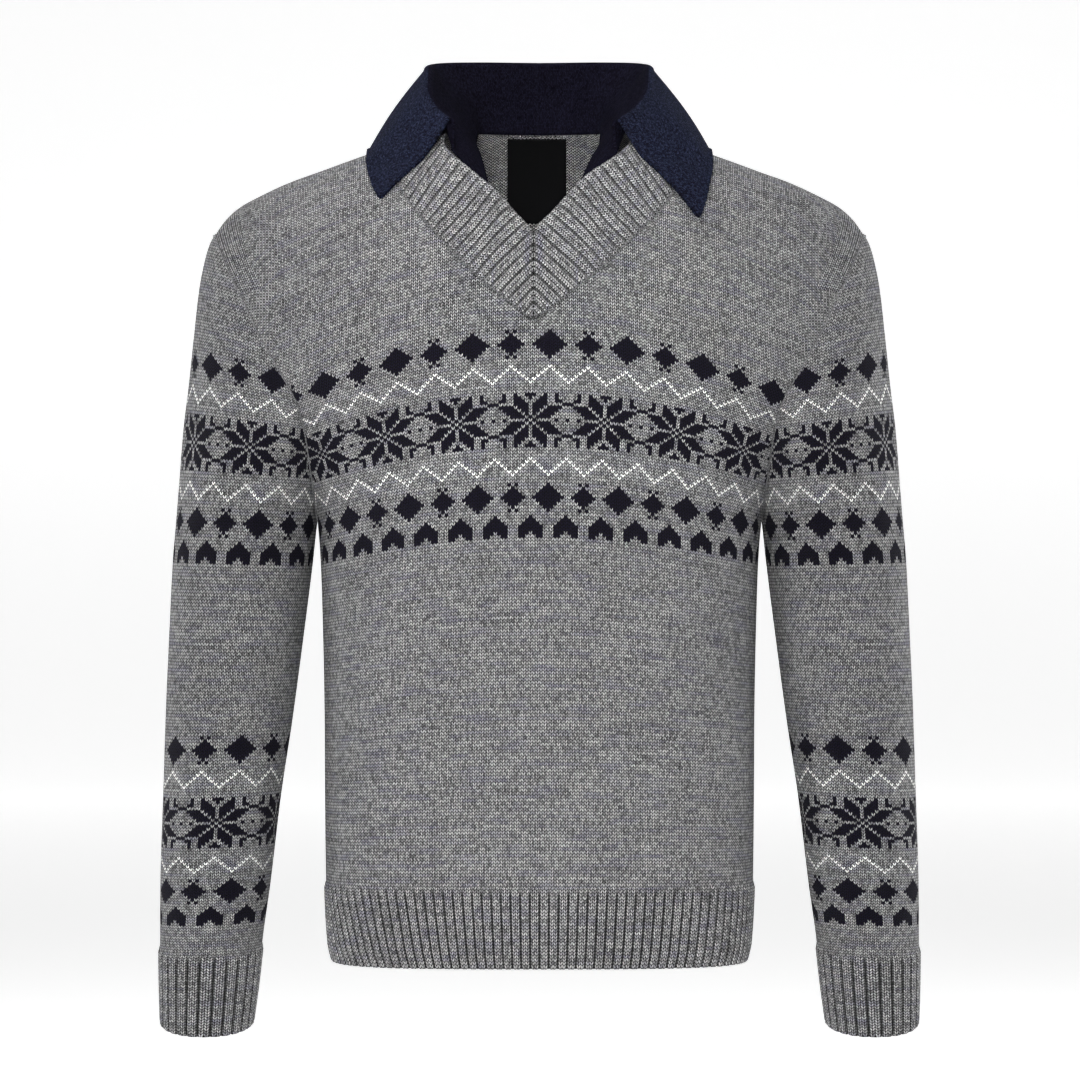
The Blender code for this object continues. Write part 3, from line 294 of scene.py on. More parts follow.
@dataclass(frozen=True)
class NeckForm:
    """The neckband's two edges on the body, down the front in step with its ribs, and the back neck."""

    body: BodyForm
    centre: float = -0.0045         # the mitre lies a little to one side
    back_level: float = 0.003
    back_turn: float = 0.050
    mitre_row: int = 4
    mitre_ribs: int = 6
    side_ribs: int = 18
    gap: float = 0.00035            # between the band and the front's neck edge, aside and down
    edges: Table = Table(
        ("station", "inner_across", "inner_level", "outer_across", "outer_level"),
        ((0.0, 0.065, 1.0, 0.121, 1.0), (0.048, 0.0705, -0.0105, 0.101, -0.053),
         (0.082, 0.0443, -0.0366, 0.08, -0.079), (0.12, 0.0148, -0.0666, 0.0535, -0.1065),
         (0.139, 0.0, -0.0816, 0.0395, -0.1195), (0.164, 0.0, -0.115, 0.0198, -0.135),
         (0.188, 0.0, -0.1475, 0.0012, -0.15)))

    @property
    def foot(self) -> float:
        """The station of the mitre's foot."""
        return self.edges.rows[-1][0]

    @property
    def point_station(self) -> float:
        """The station of the V's point, where the mitre begins."""
        return self.edges.rows[self.mitre_row][0]

    @property
    def ribs(self) -> int:
        """How many ribs one half of the band has."""
        return self.mitre_ribs + self.side_ribs

    def station_of(self, rib: Any) -> Array:
        """Stations at rib edges counted up from the mitre's foot."""
        mitre = self.foot - np.asarray(rib, float) * (self.foot - self.point_station) / self.mitre_ribs
        side = self.point_station * (1 - (np.asarray(rib, float) - self.mitre_ribs) / self.side_ribs)
        return np.where(np.asarray(rib) <= self.mitre_ribs, mitre, side)

    def _edge(self, name: str, rows: Sequence[tuple[float, ...]], station: Array) -> Array:
        """One edge as (distance across, climb), on a smooth curve through some rows."""
        k = self.edges.columns.index(name + "_across")
        across = [row[k] for row in rows]
        climbs = [self.body.shoulder_turn if row[k + 1] > 0 else float(self.body.climb_to(row[k], row[k + 1]))
                  for row in rows]
        knots = [row[0] for row in rows]
        return np.stack([smooth_curve(knots, across, station), smooth_curve(knots, climbs, station)], axis=-1)

    def inner(self, station: Array) -> Array:
        """The band's inner edge, and from the V's point its mitre, as (distance across, climb)."""
        above = self._edge("inner", self.edges.rows[:self.mitre_row + 1], station)
        below = self._edge("inner", self.edges.rows[self.mitre_row:], station)
        return np.where((station <= self.point_station)[..., None], above, below)

    def outer(self, station: Array) -> Array:
        """The band's outer edge, where it is linked to the front, as (distance across, climb)."""
        return self._edge("outer", self.edges.rows, station)

    def lean(self, across: Array) -> Array:
        """How far the neck is drawn to one side at distances across."""
        return self.centre * np.maximum(0.0, 1 - np.abs(across) / self.edges.rows[0][3])

    def front_line(self, place: Array) -> Array:
        """The front's neck edge at places from 0, at the foot of the V, to 1, at the shoulder seam."""
        line = self.outer(self.station_of(np.asarray(place) * self.ribs))
        across = np.where(np.asarray(place) <= 0, 0.0, line[..., 0] + self.gap)
        climb = np.where(np.asarray(place) >= 1, self.body.shoulder_turn, line[..., 1] - self.gap)
        return np.stack([across, climb], axis=-1)

    def back_line(self, place: Array) -> Array:
        """The back's neck edge at places from 0, at the centre, to 1, at the shoulder seam."""
        across = np.linspace(0.0, self.back_turn, 41)
        line = np.stack([across, self.body.climb_to(across, self.back_level)], axis=-1)
        line = np.vstack([line, [self.edges.rows[0][1], self.body.shoulder_turn]])
        reached = lengths_along(line)
        return read_line(line, np.interp(np.asarray(place) * reached[-1], reached, np.arange(len(line))))


# ---------------- skins of cloth

@dataclass
class Line:
    """One row of points across a piece.

    stitch holds (wale, course) at each point for the cloth over the row, and under holds it for the cloth
    below where that differs. edge holds (wales from a fashioned edge, courses along it). rib holds the place
    among the ribs and how far they rise there. A closed row ends on its first point.
    """

    points: Array
    places: Array
    stitch: Array
    under: Array | None = None
    edge: Array | None = None
    rib: Array | None = None
    closed: bool = False
    index: Array | None = None

    def __post_init__(self) -> None:
        """Fills in what was left out."""
        count = len(self.places)
        if self.under is None:
            self.under = self.stitch
        if self.edge is None:
            self.edge = np.tile(NO_EDGE, (count, 1))
        if self.rib is None:
            self.rib = np.zeros((count, 2))

    def part(self, first: int, last: int) -> "Line":
        """The stretch of the row from one of its points to another."""
        keep = slice(first, last + 1)
        return Line(self.points[keep], self.places[keep], self.stitch[keep], self.under[keep],
                    self.edge[keep], self.rib[keep], False, self.index[keep])

    def turned(self) -> "Line":
        """The row run the other way, with its places still rising, so that mirrored cloth faces out."""
        return Line(self.points[::-1], self.places, self.stitch[::-1], self.under[::-1], self.edge[::-1],
                    self.rib[::-1], self.closed)


def put_in_scene(name: str, data: Any) -> Object:
    """A new object with its data, linked to the scene."""
    obj = bpy.data.objects.new(name, data)
    bpy.context.scene.collection.objects.link(obj)
    return obj


class Skin:
    """One face of cloth, woven from rows. Rows that run the other way round the garment are woven flipped."""

    def __init__(self, flipped: bool = False) -> None:
        """Starts with no points."""
        self.turn = slice(None, None, -1) if flipped else slice(None)
        self.points: list[Array] = []
        self.ribs: list[Array] = []
        self.count = 0
        self.faces: list[list[int]] = []
        self.corners: list[Array] = []

    def add(self, line: Line) -> Line:
        """Adds a row's points and numbers them."""
        new = len(line.places) - int(line.closed)
        index = np.arange(self.count, self.count + new)
        line.index = np.append(index, index[0]) if line.closed else index
        self.points.append(line.points[:new])
        self.ribs.append(line.rib[:new])
        self.count += new
        return line

    def weave(self, low: Line, high: Line) -> None:
        """Fills the cloth between two rows, with squares where they have as many points."""
        over = np.hstack([low.stitch, low.edge])
        under = np.hstack([high.under, high.edge])
        if len(low.places) == len(high.places):
            faces = np.stack([low.index[:-1], low.index[1:], high.index[1:], high.index[:-1]], axis=1)
            self.faces += faces[:, self.turn].tolist()
            corners = np.stack([over[:-1], over[1:], under[1:], under[:-1]], axis=1)
            self.corners.append(corners[:, self.turn].reshape(-1, 4))
            return
        i, j = 0, 0
        while i < len(low.places) - 1 or j < len(high.places) - 1:
            step_low = j == len(high.places) - 1 or (
                i < len(low.places) - 1 and low.places[i + 1] <= high.places[j + 1])
            if step_low:
                self.faces.append([int(low.index[i]), int(low.index[i + 1]), int(high.index[j])][self.turn])
                self.corners.append(np.stack([over[i], over[i + 1], under[j]])[self.turn])
                i += 1
            else:
                self.faces.append([int(low.index[i]), int(high.index[j + 1]), int(high.index[j])][self.turn])
                self.corners.append(np.stack([over[i], under[j + 1], under[j]])[self.turn])
                j += 1

    def weave_all(self, lines: Sequence[Line]) -> None:
        """Fills the cloth between each two rows that follow each other."""
        for low, high in zip(lines, lines[1:]):
            self.weave(low, high)

    def build(self, name: str) -> Object:
        """The cloth as an object, with its stitch and edge maps and its rib attributes."""
        mesh = bpy.data.meshes.new(name)
        mesh.from_pydata(np.vstack(self.points).tolist(), [], self.faces)
        corners = np.vstack(self.corners)
        for layer, first in (("stitch", 0), ("edge", 2)):
            mesh.uv_layers.new(name=layer).uv.foreach_set("vector", corners[:, first:first + 2].ravel())
        ribs = np.vstack(self.ribs)
        for k, attribute in enumerate(("rib_place", "rib_lift")):
            mesh.attributes.new(attribute, "FLOAT", "POINT").data.foreach_set("value", ribs[:, k].copy())
        mesh.shade_smooth()
        mesh.validate()
        return put_in_scene(name, mesh)


def outward(points: Array) -> Array:
    """Directions out of a grid of points, with across along the second axis and up along the first."""
    across, up = np.gradient(points, axis=1), np.gradient(points, axis=0)
    direction = np.cross(across, up)
    return direction / np.maximum(np.linalg.norm(direction, axis=-1, keepdims=True), 1e-12)


# ---------------- node trees

def operator(operation: str, reflected: bool = False) -> Callable[..., "Value"]:
    """A method that puts its value and other values through a Math node.

    Args:
        operation: What the node does.
        reflected: Whether the method's own value comes last.

    Returns:
        The method.
    """
    def method(value: "Value", *others: Number) -> "Value":
        """What the node gives."""
        inputs = (*others, value) if reflected else (value, *others)
        return value.tree.node("ShaderNodeMath", {"operation": operation}, dict(enumerate(inputs)))
    return method


class Value:
    """A socket of a node tree that Python's operators work on. A mask is 1 where it holds and 0 elsewhere."""

    def __init__(self, tree: "Tree", socket: NodeSocket) -> None:
        """Wraps an output socket."""
        self.tree = tree
        self.socket = socket

    __add__ = __radd__ = operator("ADD")
    __sub__, __rsub__ = operator("SUBTRACT"), operator("SUBTRACT", True)
    __mul__ = __rmul__ = operator("MULTIPLY")
    __truediv__, __rtruediv__ = operator("DIVIDE"), operator("DIVIDE", True)
    __mod__ = operator("FLOORED_MODULO")        # never below zero
    __pow__ = operator("POWER")
    __abs__ = operator("ABSOLUTE")
    __lt__, __gt__ = operator("LESS_THAN"), operator("GREATER_THAN")
    __and__, __or__ = operator("MULTIPLY"), operator("MAXIMUM")     # masks of where both hold, or either
    floor, least, compare = operator("FLOOR"), operator("MINIMUM"), operator("COMPARE")
    sine, cosine = operator("SINE"), operator("COSINE")

    def __invert__(self) -> "Value":
        """Mask of where this doesn't hold."""
        return 1 - self

    def clamp(self) -> "Value":
        """This kept between 0 and 1."""
        return self.tree.node("ShaderNodeClamp", {}, {0: self, 1: 0.0, 2: 1.0})

    def counts(self, number: Number) -> "Value":
        """Mask of where this whole number is the given one."""
        return self.compare(number, 0.5)

    def from_to(self, low: Number, high: Number) -> "Value":
        """Mask of where this whole number is from one number to another."""
        return (self > low - 0.5) & (self < high + 0.5)

    def ramp(self, low: float, high: float, start: float = 0.0, end: float = 1.0) -> "Value":
        """A soft step from start to end as this goes from low to high."""
        return self.tree.node("ShaderNodeMapRange", {"interpolation_type": "SMOOTHSTEP"},
                              {0: self, 1: low, 2: high, 3: start, 4: end})


class Tree:
    """Builds the nodes of one shader or geometry tree."""

    def __init__(self, nodes: NodeTree) -> None:
        """Takes the tree to build in."""
        self.nodes = nodes

    def node(self, kind: str, settings: dict[str, Any], inputs: dict[Any, Any], output: Any = 0) -> Value:
        """Adds any node.

        Args:
            kind: The node's type.
            settings: Its own properties, set first.
            inputs: What goes into its sockets, by name or number: a Value is linked, anything else is set.
            output: Which of its outputs is wanted.

        Returns:
            That output.
        """
        made = self.nodes.nodes.new(kind)
        for name, setting in settings.items():
            setattr(made, name, setting)
        for key, given in inputs.items():
            self.feed(made.inputs[key], given)
        return Value(self, made.outputs[output])

    def feed(self, socket: NodeSocket, given: Any) -> None:
        """Links or sets a socket."""
        if isinstance(given, Value):
            self.nodes.links.new(given.socket, socket)
        else:
            socket.default_value = given

    def vector(self, x: Number, y: Number, z: Number = 0.0) -> Value:
        """A vector of three values."""
        return self.node("ShaderNodeCombineXYZ", {}, {0: x, 1: y, 2: z})

    def split(self, vector: Value) -> tuple[Value, Value, Value]:
        """The three values of a vector."""
        first = self.node("ShaderNodeSeparateXYZ", {}, {0: vector})
        outputs = first.socket.node.outputs
        return first, Value(self, outputs[1]), Value(self, outputs[2])


class Shader(Tree):
    """Builds one material around its Principled shader."""

    def __init__(self, name: str) -> None:
        """Makes the material."""
        self.material = bpy.data.materials.new(name)
        self.material.use_nodes = True
        super().__init__(self.material.node_tree)
        self.principled = self.nodes.nodes["Principled BSDF"]

    def set(self, **sockets: Any) -> None:
        """Sets or links the Principled shader's sockets, with _ for a space in a name."""
        for name, given in sockets.items():
            self.feed(self.principled.inputs[name.replace("_", " ")], given)

    def map(self, name: str) -> tuple[Value, Value]:
        """The two coordinates of one of the piece's own maps."""
        x, y, _ = self.split(self.node("ShaderNodeUVMap", {"uv_map": name}, {}))
        return x, y

    def attribute(self, name: str) -> Value:
        """One of the piece's own float attributes."""
        kind = {"attribute_type": "GEOMETRY", "attribute_name": name}
        return self.node("ShaderNodeAttribute", kind, {}, "Fac")

    def place(self) -> Value:
        """The place in the piece's own space."""
        return self.node("ShaderNodeTexCoord", {}, {}, "Object")

    def noise(self, place: Value, scale: float, detail: float = 2.0, roughness: float = 0.5) -> Value:
        """Soft noise about 0.5."""
        return self.node("ShaderNodeTexNoise", {"noise_dimensions": "3D"},
                         {"Vector": place, "Scale": scale, "Detail": detail, "Roughness": roughness})

    def mottle(self, x: Value, y: Value, detail: float, roughness: float = 0.5, layer: float = 0.0) -> Value:
        """Soft noise about 0.5 over two coordinates."""
        return self.noise(self.vector(x, y, layer), 1.0, detail, roughness)

    def chance(self, x: Number, y: Number) -> Value:
        """A random value from 0 to 1 for each pair of whole numbers."""
        return self.node("ShaderNodeTexWhiteNoise", {"noise_dimensions": "3D"}, {"Vector": self.vector(x, y)})

    def mix(self, share: Number, low: Any, high: Any) -> Value:
        """A colour between two."""
        low, high = ((*c, 1.0) if isinstance(c, tuple) and len(c) == 3 else c for c in (low, high))
        return self.node("ShaderNodeMix", {"data_type": "RGBA"}, {0: share, 6: low, 7: high}, 2)

    def shade(self, colour: Value, light: Value) -> Value:
        """A colour made lighter or darker by a value."""
        return self.node("ShaderNodeVectorMath", {"operation": "SCALE"}, {0: colour, 3: light})

    def bump(self, height: Value, distance: float) -> None:
        """Raises the surface's look by a height, in shares of a distance in metres."""
        inputs = {"Strength": 1.0, "Distance": distance, "Height": height}
        self.set(Normal=self.node("ShaderNodeBump", {}, inputs))


class Group(Tree):
    """Builds one Geometry Nodes group that takes geometry, sizes and a material."""

    def __init__(self, name: str, sizes: dict[str, float]) -> None:
        """Makes the group.

        Args:
            name: The group's name.
            sizes: Its named sizes and their usual values.
        """
        group = bpy.data.node_groups.new(name, "GeometryNodeTree")
        super().__init__(group)
        new_socket = group.interface.new_socket
        new_socket("Geometry", in_out="INPUT", socket_type="NodeSocketGeometry")
        for size, usual in sizes.items():
            new_socket(size, in_out="INPUT", socket_type="NodeSocketFloat").default_value = usual
        new_socket("Material", in_out="INPUT", socket_type="NodeSocketMaterial")
        new_socket("Geometry", in_out="OUTPUT", socket_type="NodeSocketGeometry")
        self.entry = group.nodes.new("NodeGroupInput")

    def input(self, name: str) -> Value:
        """One of the group's inputs."""
        return Value(self, self.entry.outputs[name])

    def attribute(self, name: str) -> Value:
        """A float attribute of the geometry."""
        return self.node("GeometryNodeInputNamedAttribute", {"data_type": "FLOAT"}, {"Name": name})

    def finish(self, geometry: Value) -> NodeTree:
        """Realizes the geometry, gives it the material and sends it out."""
        real = self.node("GeometryNodeRealizeInstances", {}, {0: geometry})
        material = self.input("Material")
        dressed = self.node("GeometryNodeSetMaterial", {}, {"Geometry": real, "Material": material})
        exit_node = self.nodes.nodes.new("NodeGroupOutput")
        self.feed(exit_node.inputs[0], dressed)
        return self.nodes

    @staticmethod
    def run(obj: Object, group: NodeTree, inputs: dict[str, Any]) -> Object:
        """Runs a group on an object and keeps the result as its plain mesh.

        Args:
            obj: The object, linked to the scene.
            group: The group.
            inputs: The group's inputs by name.

        Returns:
            The same object.
        """
        modifier = obj.modifiers.new(group.name, "NODES")
        modifier.node_group = group
        for item in group.interface.items_tree:
            if item.item_type == "SOCKET" and item.in_out == "INPUT" and item.name in inputs:
                modifier[item.identifier] = inputs[item.name]
        settled = obj.evaluated_get(bpy.context.evaluated_depsgraph_get())
        mesh = bpy.data.meshes.new_from_object(settled)
        obj.modifiers.remove(modifier)
        old, obj.data = obj.data, mesh
        mesh.name = obj.name
        bpy.data.meshes.remove(old)
        return obj


def rib_group() -> NodeTree:
    """A group that raises ribs out of cloth, by its rib attributes."""
    made = Group("raised_ribs", {"Rise": 0.0016, "Crest": 0.62})
    aside = abs(made.attribute("rib_place") % 1 * 2 - 1)
    crest = made.input("Crest")
    slope = ((aside - crest) / (1 - crest)).clamp()
    profile = 1 - slope * slope * (3 - 2 * slope) - aside * aside * 0.15
    height = profile * made.attribute("rib_lift") * made.input("Rise")
    normal = made.node("GeometryNodeInputNormal", {}, {})
    offset = made.node("ShaderNodeVectorMath", {"operation": "SCALE"}, {0: normal, "Scale": height})
    moved = made.node("GeometryNodeSetPosition", {}, {"Geometry": made.input("Geometry"), "Offset": offset})
    return made.finish(moved)


def stitch_group() -> NodeTree:
    """A group that sews a row of small stitches along the edges it is given."""
    made = Group("row_of_stitches", {"Spacing": 0.0028, "Length": 0.0022, "Thickness": 0.0009, "Slant": 0.35})
    curve = made.node("GeometryNodeMeshToCurve", {}, {"Mesh": made.input("Geometry")})
    even = made.node("GeometryNodeResampleCurve", {"mode": "LENGTH"},
                     {"Curve": curve, "Length": made.input("Spacing")})
    bead = made.node("GeometryNodeMeshUVSphere", {}, {"Segments": 6, "Rings": 4, "Radius": 0.5})
    tangent = made.node("GeometryNodeInputTangent", {}, {})
    lying = made.node("FunctionNodeAlignRotationToVector", {"axis": "X"}, {"Vector": tangent})
    index = made.node("GeometryNodeInputIndex", {}, {})
    turn = (index % 2 * 2 - 1) * made.input("Slant")
    slant = made.node("FunctionNodeAxisAngleToRotation", {}, {"Axis": (0.0, 1.0, 0.0), "Angle": turn})
    turned = made.node("FunctionNodeRotateRotation", {"rotation_space": "LOCAL"},
                       {"Rotation": lying, "Rotate By": slant})
    thick = made.input("Thickness")
    size = made.vector(made.input("Length"), thick, thick)
    sewn = made.node("GeometryNodeInstanceOnPoints", {},
                     {"Points": even, "Instance": bead, "Rotation": turned, "Scale": size})
    real = made.node("GeometryNodeRealizeInstances", {}, {0: sewn})
    smooth = made.node("GeometryNodeSetShadeSmooth", {}, {"Geometry": real})
    return made.finish(smooth)


# ---------------- finishes

@dataclass(frozen=True)
class StitchShape:
    """A knitted face as values: which stitch a place is in, and how high its yarn stands there."""

    wale: Value
    course: Value
    leg: Value
    height: Value
    across: Value
    lean: Value


def knit_face(across: Value, down: Value, slant: float = 0.80, split: float = 0.34,
              pillar: float = 0.0) -> StitchShape:
    """Works out the V stitches of a knitted face.

    Args:
        across: Place across, in wales.
        down: Place down, in courses.
        slant: How far a stitch's legs rise over half a wale, in courses.
        split: How deep the dips between legs are, as a share of the dips between courses.
        pillar: How deep the dips between wales are.

    Returns:
        The stitches.
    """
    aside = abs(across % 1 * 2 - 1)
    lean = down + aside * slant + 0.5
    along = 1 - (lean % 1 * 2 - 1) ** 2
    leg = 1 - (aside * 2 - 1) ** 2
    height = along * (leg * split + (1 - split)) * (1 - aside ** 2 * pillar)
    return StitchShape(across.floor(), lean.floor(), (across * 2).floor(), height, across, lean)


def purl_face(across: Value, down: Value) -> StitchShape:
    """Works out the rows of bumps on the wrong side of knitting, as knit_face does the right side."""
    lean = down + (across * math.tau).sine() * 0.34
    row = 0.5 - (lean * math.tau).cosine() * 0.5
    bead = 0.74 + (across * math.tau * 2).sine() * 0.26
    return StitchShape(across.floor(), lean.floor(), (across * 2).floor(), row * bead, across, lean)


@dataclass(frozen=True)
class NordicBand:
    """The charted band: rows of diamonds, zigzags, a row of eight-point stars, and hearts, over 20 wales."""

    repeat: int = 20
    diamond_course: int = 24
    zigzag_course: int = 17
    heart_course: int = 30

    def navy(self, wale: Value, course: Value) -> Value:
        """Mask of the stitches knitted in navy."""
        place = wale % self.repeat
        from_star = 10 - abs(place - 10)
        from_diamond = abs(wale % 10 - 5)
        row = abs(course)
        return (self._diamonds(place, from_diamond, row) | self._star(from_star, row)
                | self._hearts(5 - from_diamond, course - self.heart_course))

    def white(self, wale: Value, course: Value) -> Value:
        """Mask of the stitches knitted in white: the two zigzags."""
        return (abs(course) + abs(wale % 10 - 5)).counts(self.zigzag_course)

    def _diamonds(self, place: Value, aside: Value, row: Value) -> Value:
        """Large and small diamonds in turn. The small ones have two feelers at their top and foot."""
        up = abs(row - self.diamond_course)
        large = place < 9.5
        return (aside + up < large + 3.5) | (~large & aside.counts(1) & up.counts(4))

    def _star(self, aside: Value, row: Value) -> Value:
        """The star with its crown and foot, and the hooks, links and dots between two stars."""
        level_petals = row.from_to(1, 4) & (aside - row).from_to(1, 4)
        steep_petals = aside.from_to(1, 4) & (row - aside).from_to(1, 4)
        crown = row.from_to(7, 8) & (aside - row < -6.5)
        hooks = (aside.counts(7) & row.from_to(6, 8)) | (aside.counts(8) & row.counts(6))
        links = row.counts(5) & (aside > 8.5)
        dots = row.counts(0) & (aside.counts(7) | aside.counts(10))
        return level_petals | steep_petals | (aside + row).counts(1) | crown | hooks | links | dots

    def _hearts(self, aside: Value, row: Value) -> Value:
        """Upturned hearts, seven courses high."""
        return row.from_to(0, 6) & (aside < row.least(3) + 0.5) & (aside > row - 4.5)


@dataclass(frozen=True)
class MelangeKnit:
    """Grey melange knit, with or without the charted band.

    split and pillar shape its stitches. groove and seam set how dark its painted shade is in the grooves
    between ribs and along a seam. streak says how fast its streaks change over a wale and over a course.
    """

    name: str
    band: NordicBand | None = None
    purl: bool = False
    split: float = 0.88
    dark: tuple[float, float, float] = (0.024, 0.024, 0.026)
    light: tuple[float, float, float] = (0.560, 0.560, 0.560)
    tint: tuple[float, float, float] = (0.150, 0.146, 0.215)
    navy: tuple[float, float, float] = (0.0030, 0.0023, 0.0074)
    white: tuple[float, float, float] = (0.86, 0.86, 0.84)
    # how dark the painted shade in the grooves between ribs is
    groove: float = 0.93
    pillar: float = 0.0
    # how dark the painted shade along a seam is
    seam: float = 0.60
    # the lines between the fashioned wales are painted shade in their dips
    fashioned: float = 0.46         # how dark the lines between the fashioned wales are
    streak: tuple[float, float] = (0.07, 1.3)
    depth: float = 0.0008

    def melange(self, shader: Shader, face: StitchShape) -> Value:
        """The mixed yarn: flecks from leg to leg, long streaks, fibres, wide clouds and a bluish tint."""
        fleck = shader.chance(face.leg, face.course) - 0.5
        streak = shader.mottle(face.across * self.streak[0], face.course * self.streak[1], 2.0, 0.6) - 0.5
        fibre = shader.mottle(face.across * 5.5, face.lean * 3.5, 1.0) - 0.5
        cloud = shader.mottle(face.across * 0.035, face.lean * 0.05, 3.0, 0.6) - 0.5
        uneven = fleck * 0.50 + streak * 0.42 + fibre * 0.85 + cloud * 0.20
        light = (0.43 + uneven * (0.75 if self.purl else 1.0)).clamp()
        grey = shader.mix(light, self.dark, self.light)
        bluish = shader.mottle(face.across * 0.10, face.course * 0.42, 2.0, 0.55, 7.0)
        return shader.mix(bluish.ramp(0.46, 0.72) * 0.45, grey, self.tint)

    def build(self) -> Material:
        """Makes the material."""
        shader = Shader(self.name)
        across, down = shader.map("stitch")
        if self.purl:
            face = purl_face(across, down)
        else:
            edge, run = shader.map("edge")
            start, full, fade, end = FASHIONED_RUN
            strip = (edge < FASHIONED_WALES) & (run < end)
            face = knit_face(across + (edge - across) * strip, down + (run - down) * strip,
                             split=self.split, pillar=self.pillar)
            # Painted shade: dark lines in the dips between the fashioned wales, fading in and out along the
            # armhole, and a dark band in the valley along a seam.
            faint = run.ramp(start, full) * run.ramp(fade, end, 1.0, 0.0)
            lines = strip * abs(edge % 1 * 2 - 1).ramp(0.40, 0.95) * faint * self.fashioned
            seam = (1 - edge * 2.5).clamp() * self.seam + lines
        colour = self.melange(shader, face)
        if self.band is not None:
            fibre = shader.mottle(face.across * 4.0, face.lean * 3.0, 1.0)
            navy = self.band.navy(face.wale, face.course)
            deep = shader.mix(fibre.ramp(0.35, 0.75), self.navy, tuple(c * 2.1 for c in self.navy))
            colour = shader.mix(navy, colour, deep)
            colour = shader.mix(self.band.white(face.wale, face.course), colour, self.white)
        # Painted shade of the stitches' relief: the colour is darkest in the dips between legs and courses
        # and lightest on the yarn's crowns.
        low, high, bright = (0.16, 0.62, 2.35) if self.purl else (0.14, 0.80, 2.12)
        shade = face.height.ramp(low, high, 0.0, bright)
        # Painted shade in the grooves between ribs, as deep as the ribs rise there.
        aside = abs(shader.attribute("rib_place") % 1 * 2 - 1)
        groove = aside.ramp(0.72, 0.95) * shader.attribute("rib_lift")
        shade = shade * (1 - groove * self.groove)
        # The painted shade along seams and between the fashioned wales darkens the colour.
        if not self.purl:
            shade = shade * (1 - seam).clamp()
        fuzz = shader.noise(shader.place(), 2600.0, 2.0, 0.6)
        # The base colour carries the painted shade of the stitches, the rib grooves and the seams.
        shader.set(Base_Color=shader.shade(colour, shade), Roughness=0.92, Sheen_Weight=0.03,
                   Sheen_Roughness=0.6, Specular_IOR_Level=0.10)
        shader.bump(face.height + fuzz * 0.25, self.depth)
        return shader.material


@dataclass(frozen=True)
class CollarKnit:
    """Fine navy knit. The fall is brushed, and the stand is plain."""

    name: str
    brushed: bool
    deep: tuple[float, float, float] = (0.0034, 0.0026, 0.0068)
    bloom: tuple[float, float, float] = (0.0370, 0.0470, 0.1000)
    depth: float = 0.0006

    def build(self) -> Material:
        """Makes the material."""
        shader = Shader(self.name)
        across, down = shader.map("stitch")
        face = knit_face(across, down)
        fibre = shader.mottle(across * 0.9, down * 0.7, 3.0, 0.75)
        cloud = shader.mottle(across * 0.05, down * 0.06, 3.0, 0.6)
        fleck = shader.chance(face.leg, face.course)
        if self.brushed:
            bloom = (fibre.ramp(0.44, 0.64) * 0.62 + cloud * 0.16 + (fleck - 0.5) * 0.6 - 0.04).clamp()
        else:
            bloom = (fleck * 0.30 + cloud * 0.10 + fibre.ramp(0.5, 0.8) * 0.14 - 0.06).clamp()
        colour = shader.mix(bloom, self.deep, self.bloom)
        # Painted shade of the stitches' relief: the colour is darkest in the dips between them and lightest
        # on their crowns.
        shade = face.height.ramp(0.0, 0.8, 0.15, 1.40)
        hair = shader.noise(shader.place(), 1500.0, 3.0, 0.7)
        shader.set(Base_Color=shader.shade(colour, shade), Roughness=0.97, Specular_IOR_Level=0.05,
                   Sheen_Weight=0.05 if self.brushed else 0.0, Sheen_Roughness=0.45,
                   Sheen_Tint=(0.45, 0.55, 0.85, 1.0))
        shader.bump(face.height + hair * (0.9 if self.brushed else 0.2), self.depth)
        return shader.material


@dataclass(frozen=True)
class LabelSatin:
    """Black woven satin."""

    name: str = "label_satin"
    colour: tuple[float, float, float] = (0.0040, 0.0040, 0.0044)
    thread: float = 0.00022

    def build(self) -> Material:
        """Makes the material."""
        shader = Shader(self.name)
        across, down = shader.map("stitch")
        warp = 1 - (across % 1 * 2 - 1) ** 2
        weft = 1 - ((down + (across.floor() % 4) * 0.25) % 1 * 2 - 1) ** 2
        weave = warp * 0.6 + weft * 0.4
        # Painted shade of the weave: the colour is darker between the threads and lighter on their crowns.
        tone = shader.mix(weave, self.colour, tuple(c * 1.7 for c in self.colour))
        shader.set(Base_Color=tone, Roughness=0.65 + weave * 0.12, Specular_IOR_Level=0.06)
        shader.bump(weave, self.thread * 0.5)
        return shader.material


@dataclass(frozen=True)
class Thread:
    """Yarn that sews or links, in one colour."""

    name: str
    colour: tuple[float, float, float]

    def build(self) -> Material:
        """Makes the material."""
        shader = Shader(self.name)
        fibre = shader.noise(shader.place(), 900.0, 2.0, 0.6)
        colour = shader.mix(fibre.ramp(0.3, 0.75), tuple(c * 0.6 for c in self.colour),
                            tuple(min(c * 1.5, 1.0) for c in self.colour))
        shader.set(Base_Color=colour, Roughness=0.9, Specular_IOR_Level=0.2, Sheen_Weight=0.1)
        shader.bump(fibre, 0.0002)
        return shader.material


@dataclass(frozen=True)
class Paper:
    """The pale floor and backdrop, lit evenly from behind."""

    name: str = "pale_paper"
    colour: tuple[float, float, float] = (0.80, 0.80, 0.80)
    glow: float = 0.62

    def build(self) -> Material:
        """Makes the material."""
        shader = Shader(self.name)
        place = shader.place()
        grain = shader.noise(place, 40.0, 2.0)
        tone = shader.mix(grain, tuple(c * 0.99 for c in self.colour), self.colour)
        behind = shader.split(place)[1].ramp(0.2, 0.95)
        light = shader.mix(behind, (0.3, 0.3, 0.3), (1.0, 1.0, 1.0))
        shader.set(Base_Color=tone, Roughness=0.9, Specular_IOR_Level=0.1, Emission_Color=light,
                   Emission_Strength=self.glow)
        return shader.material


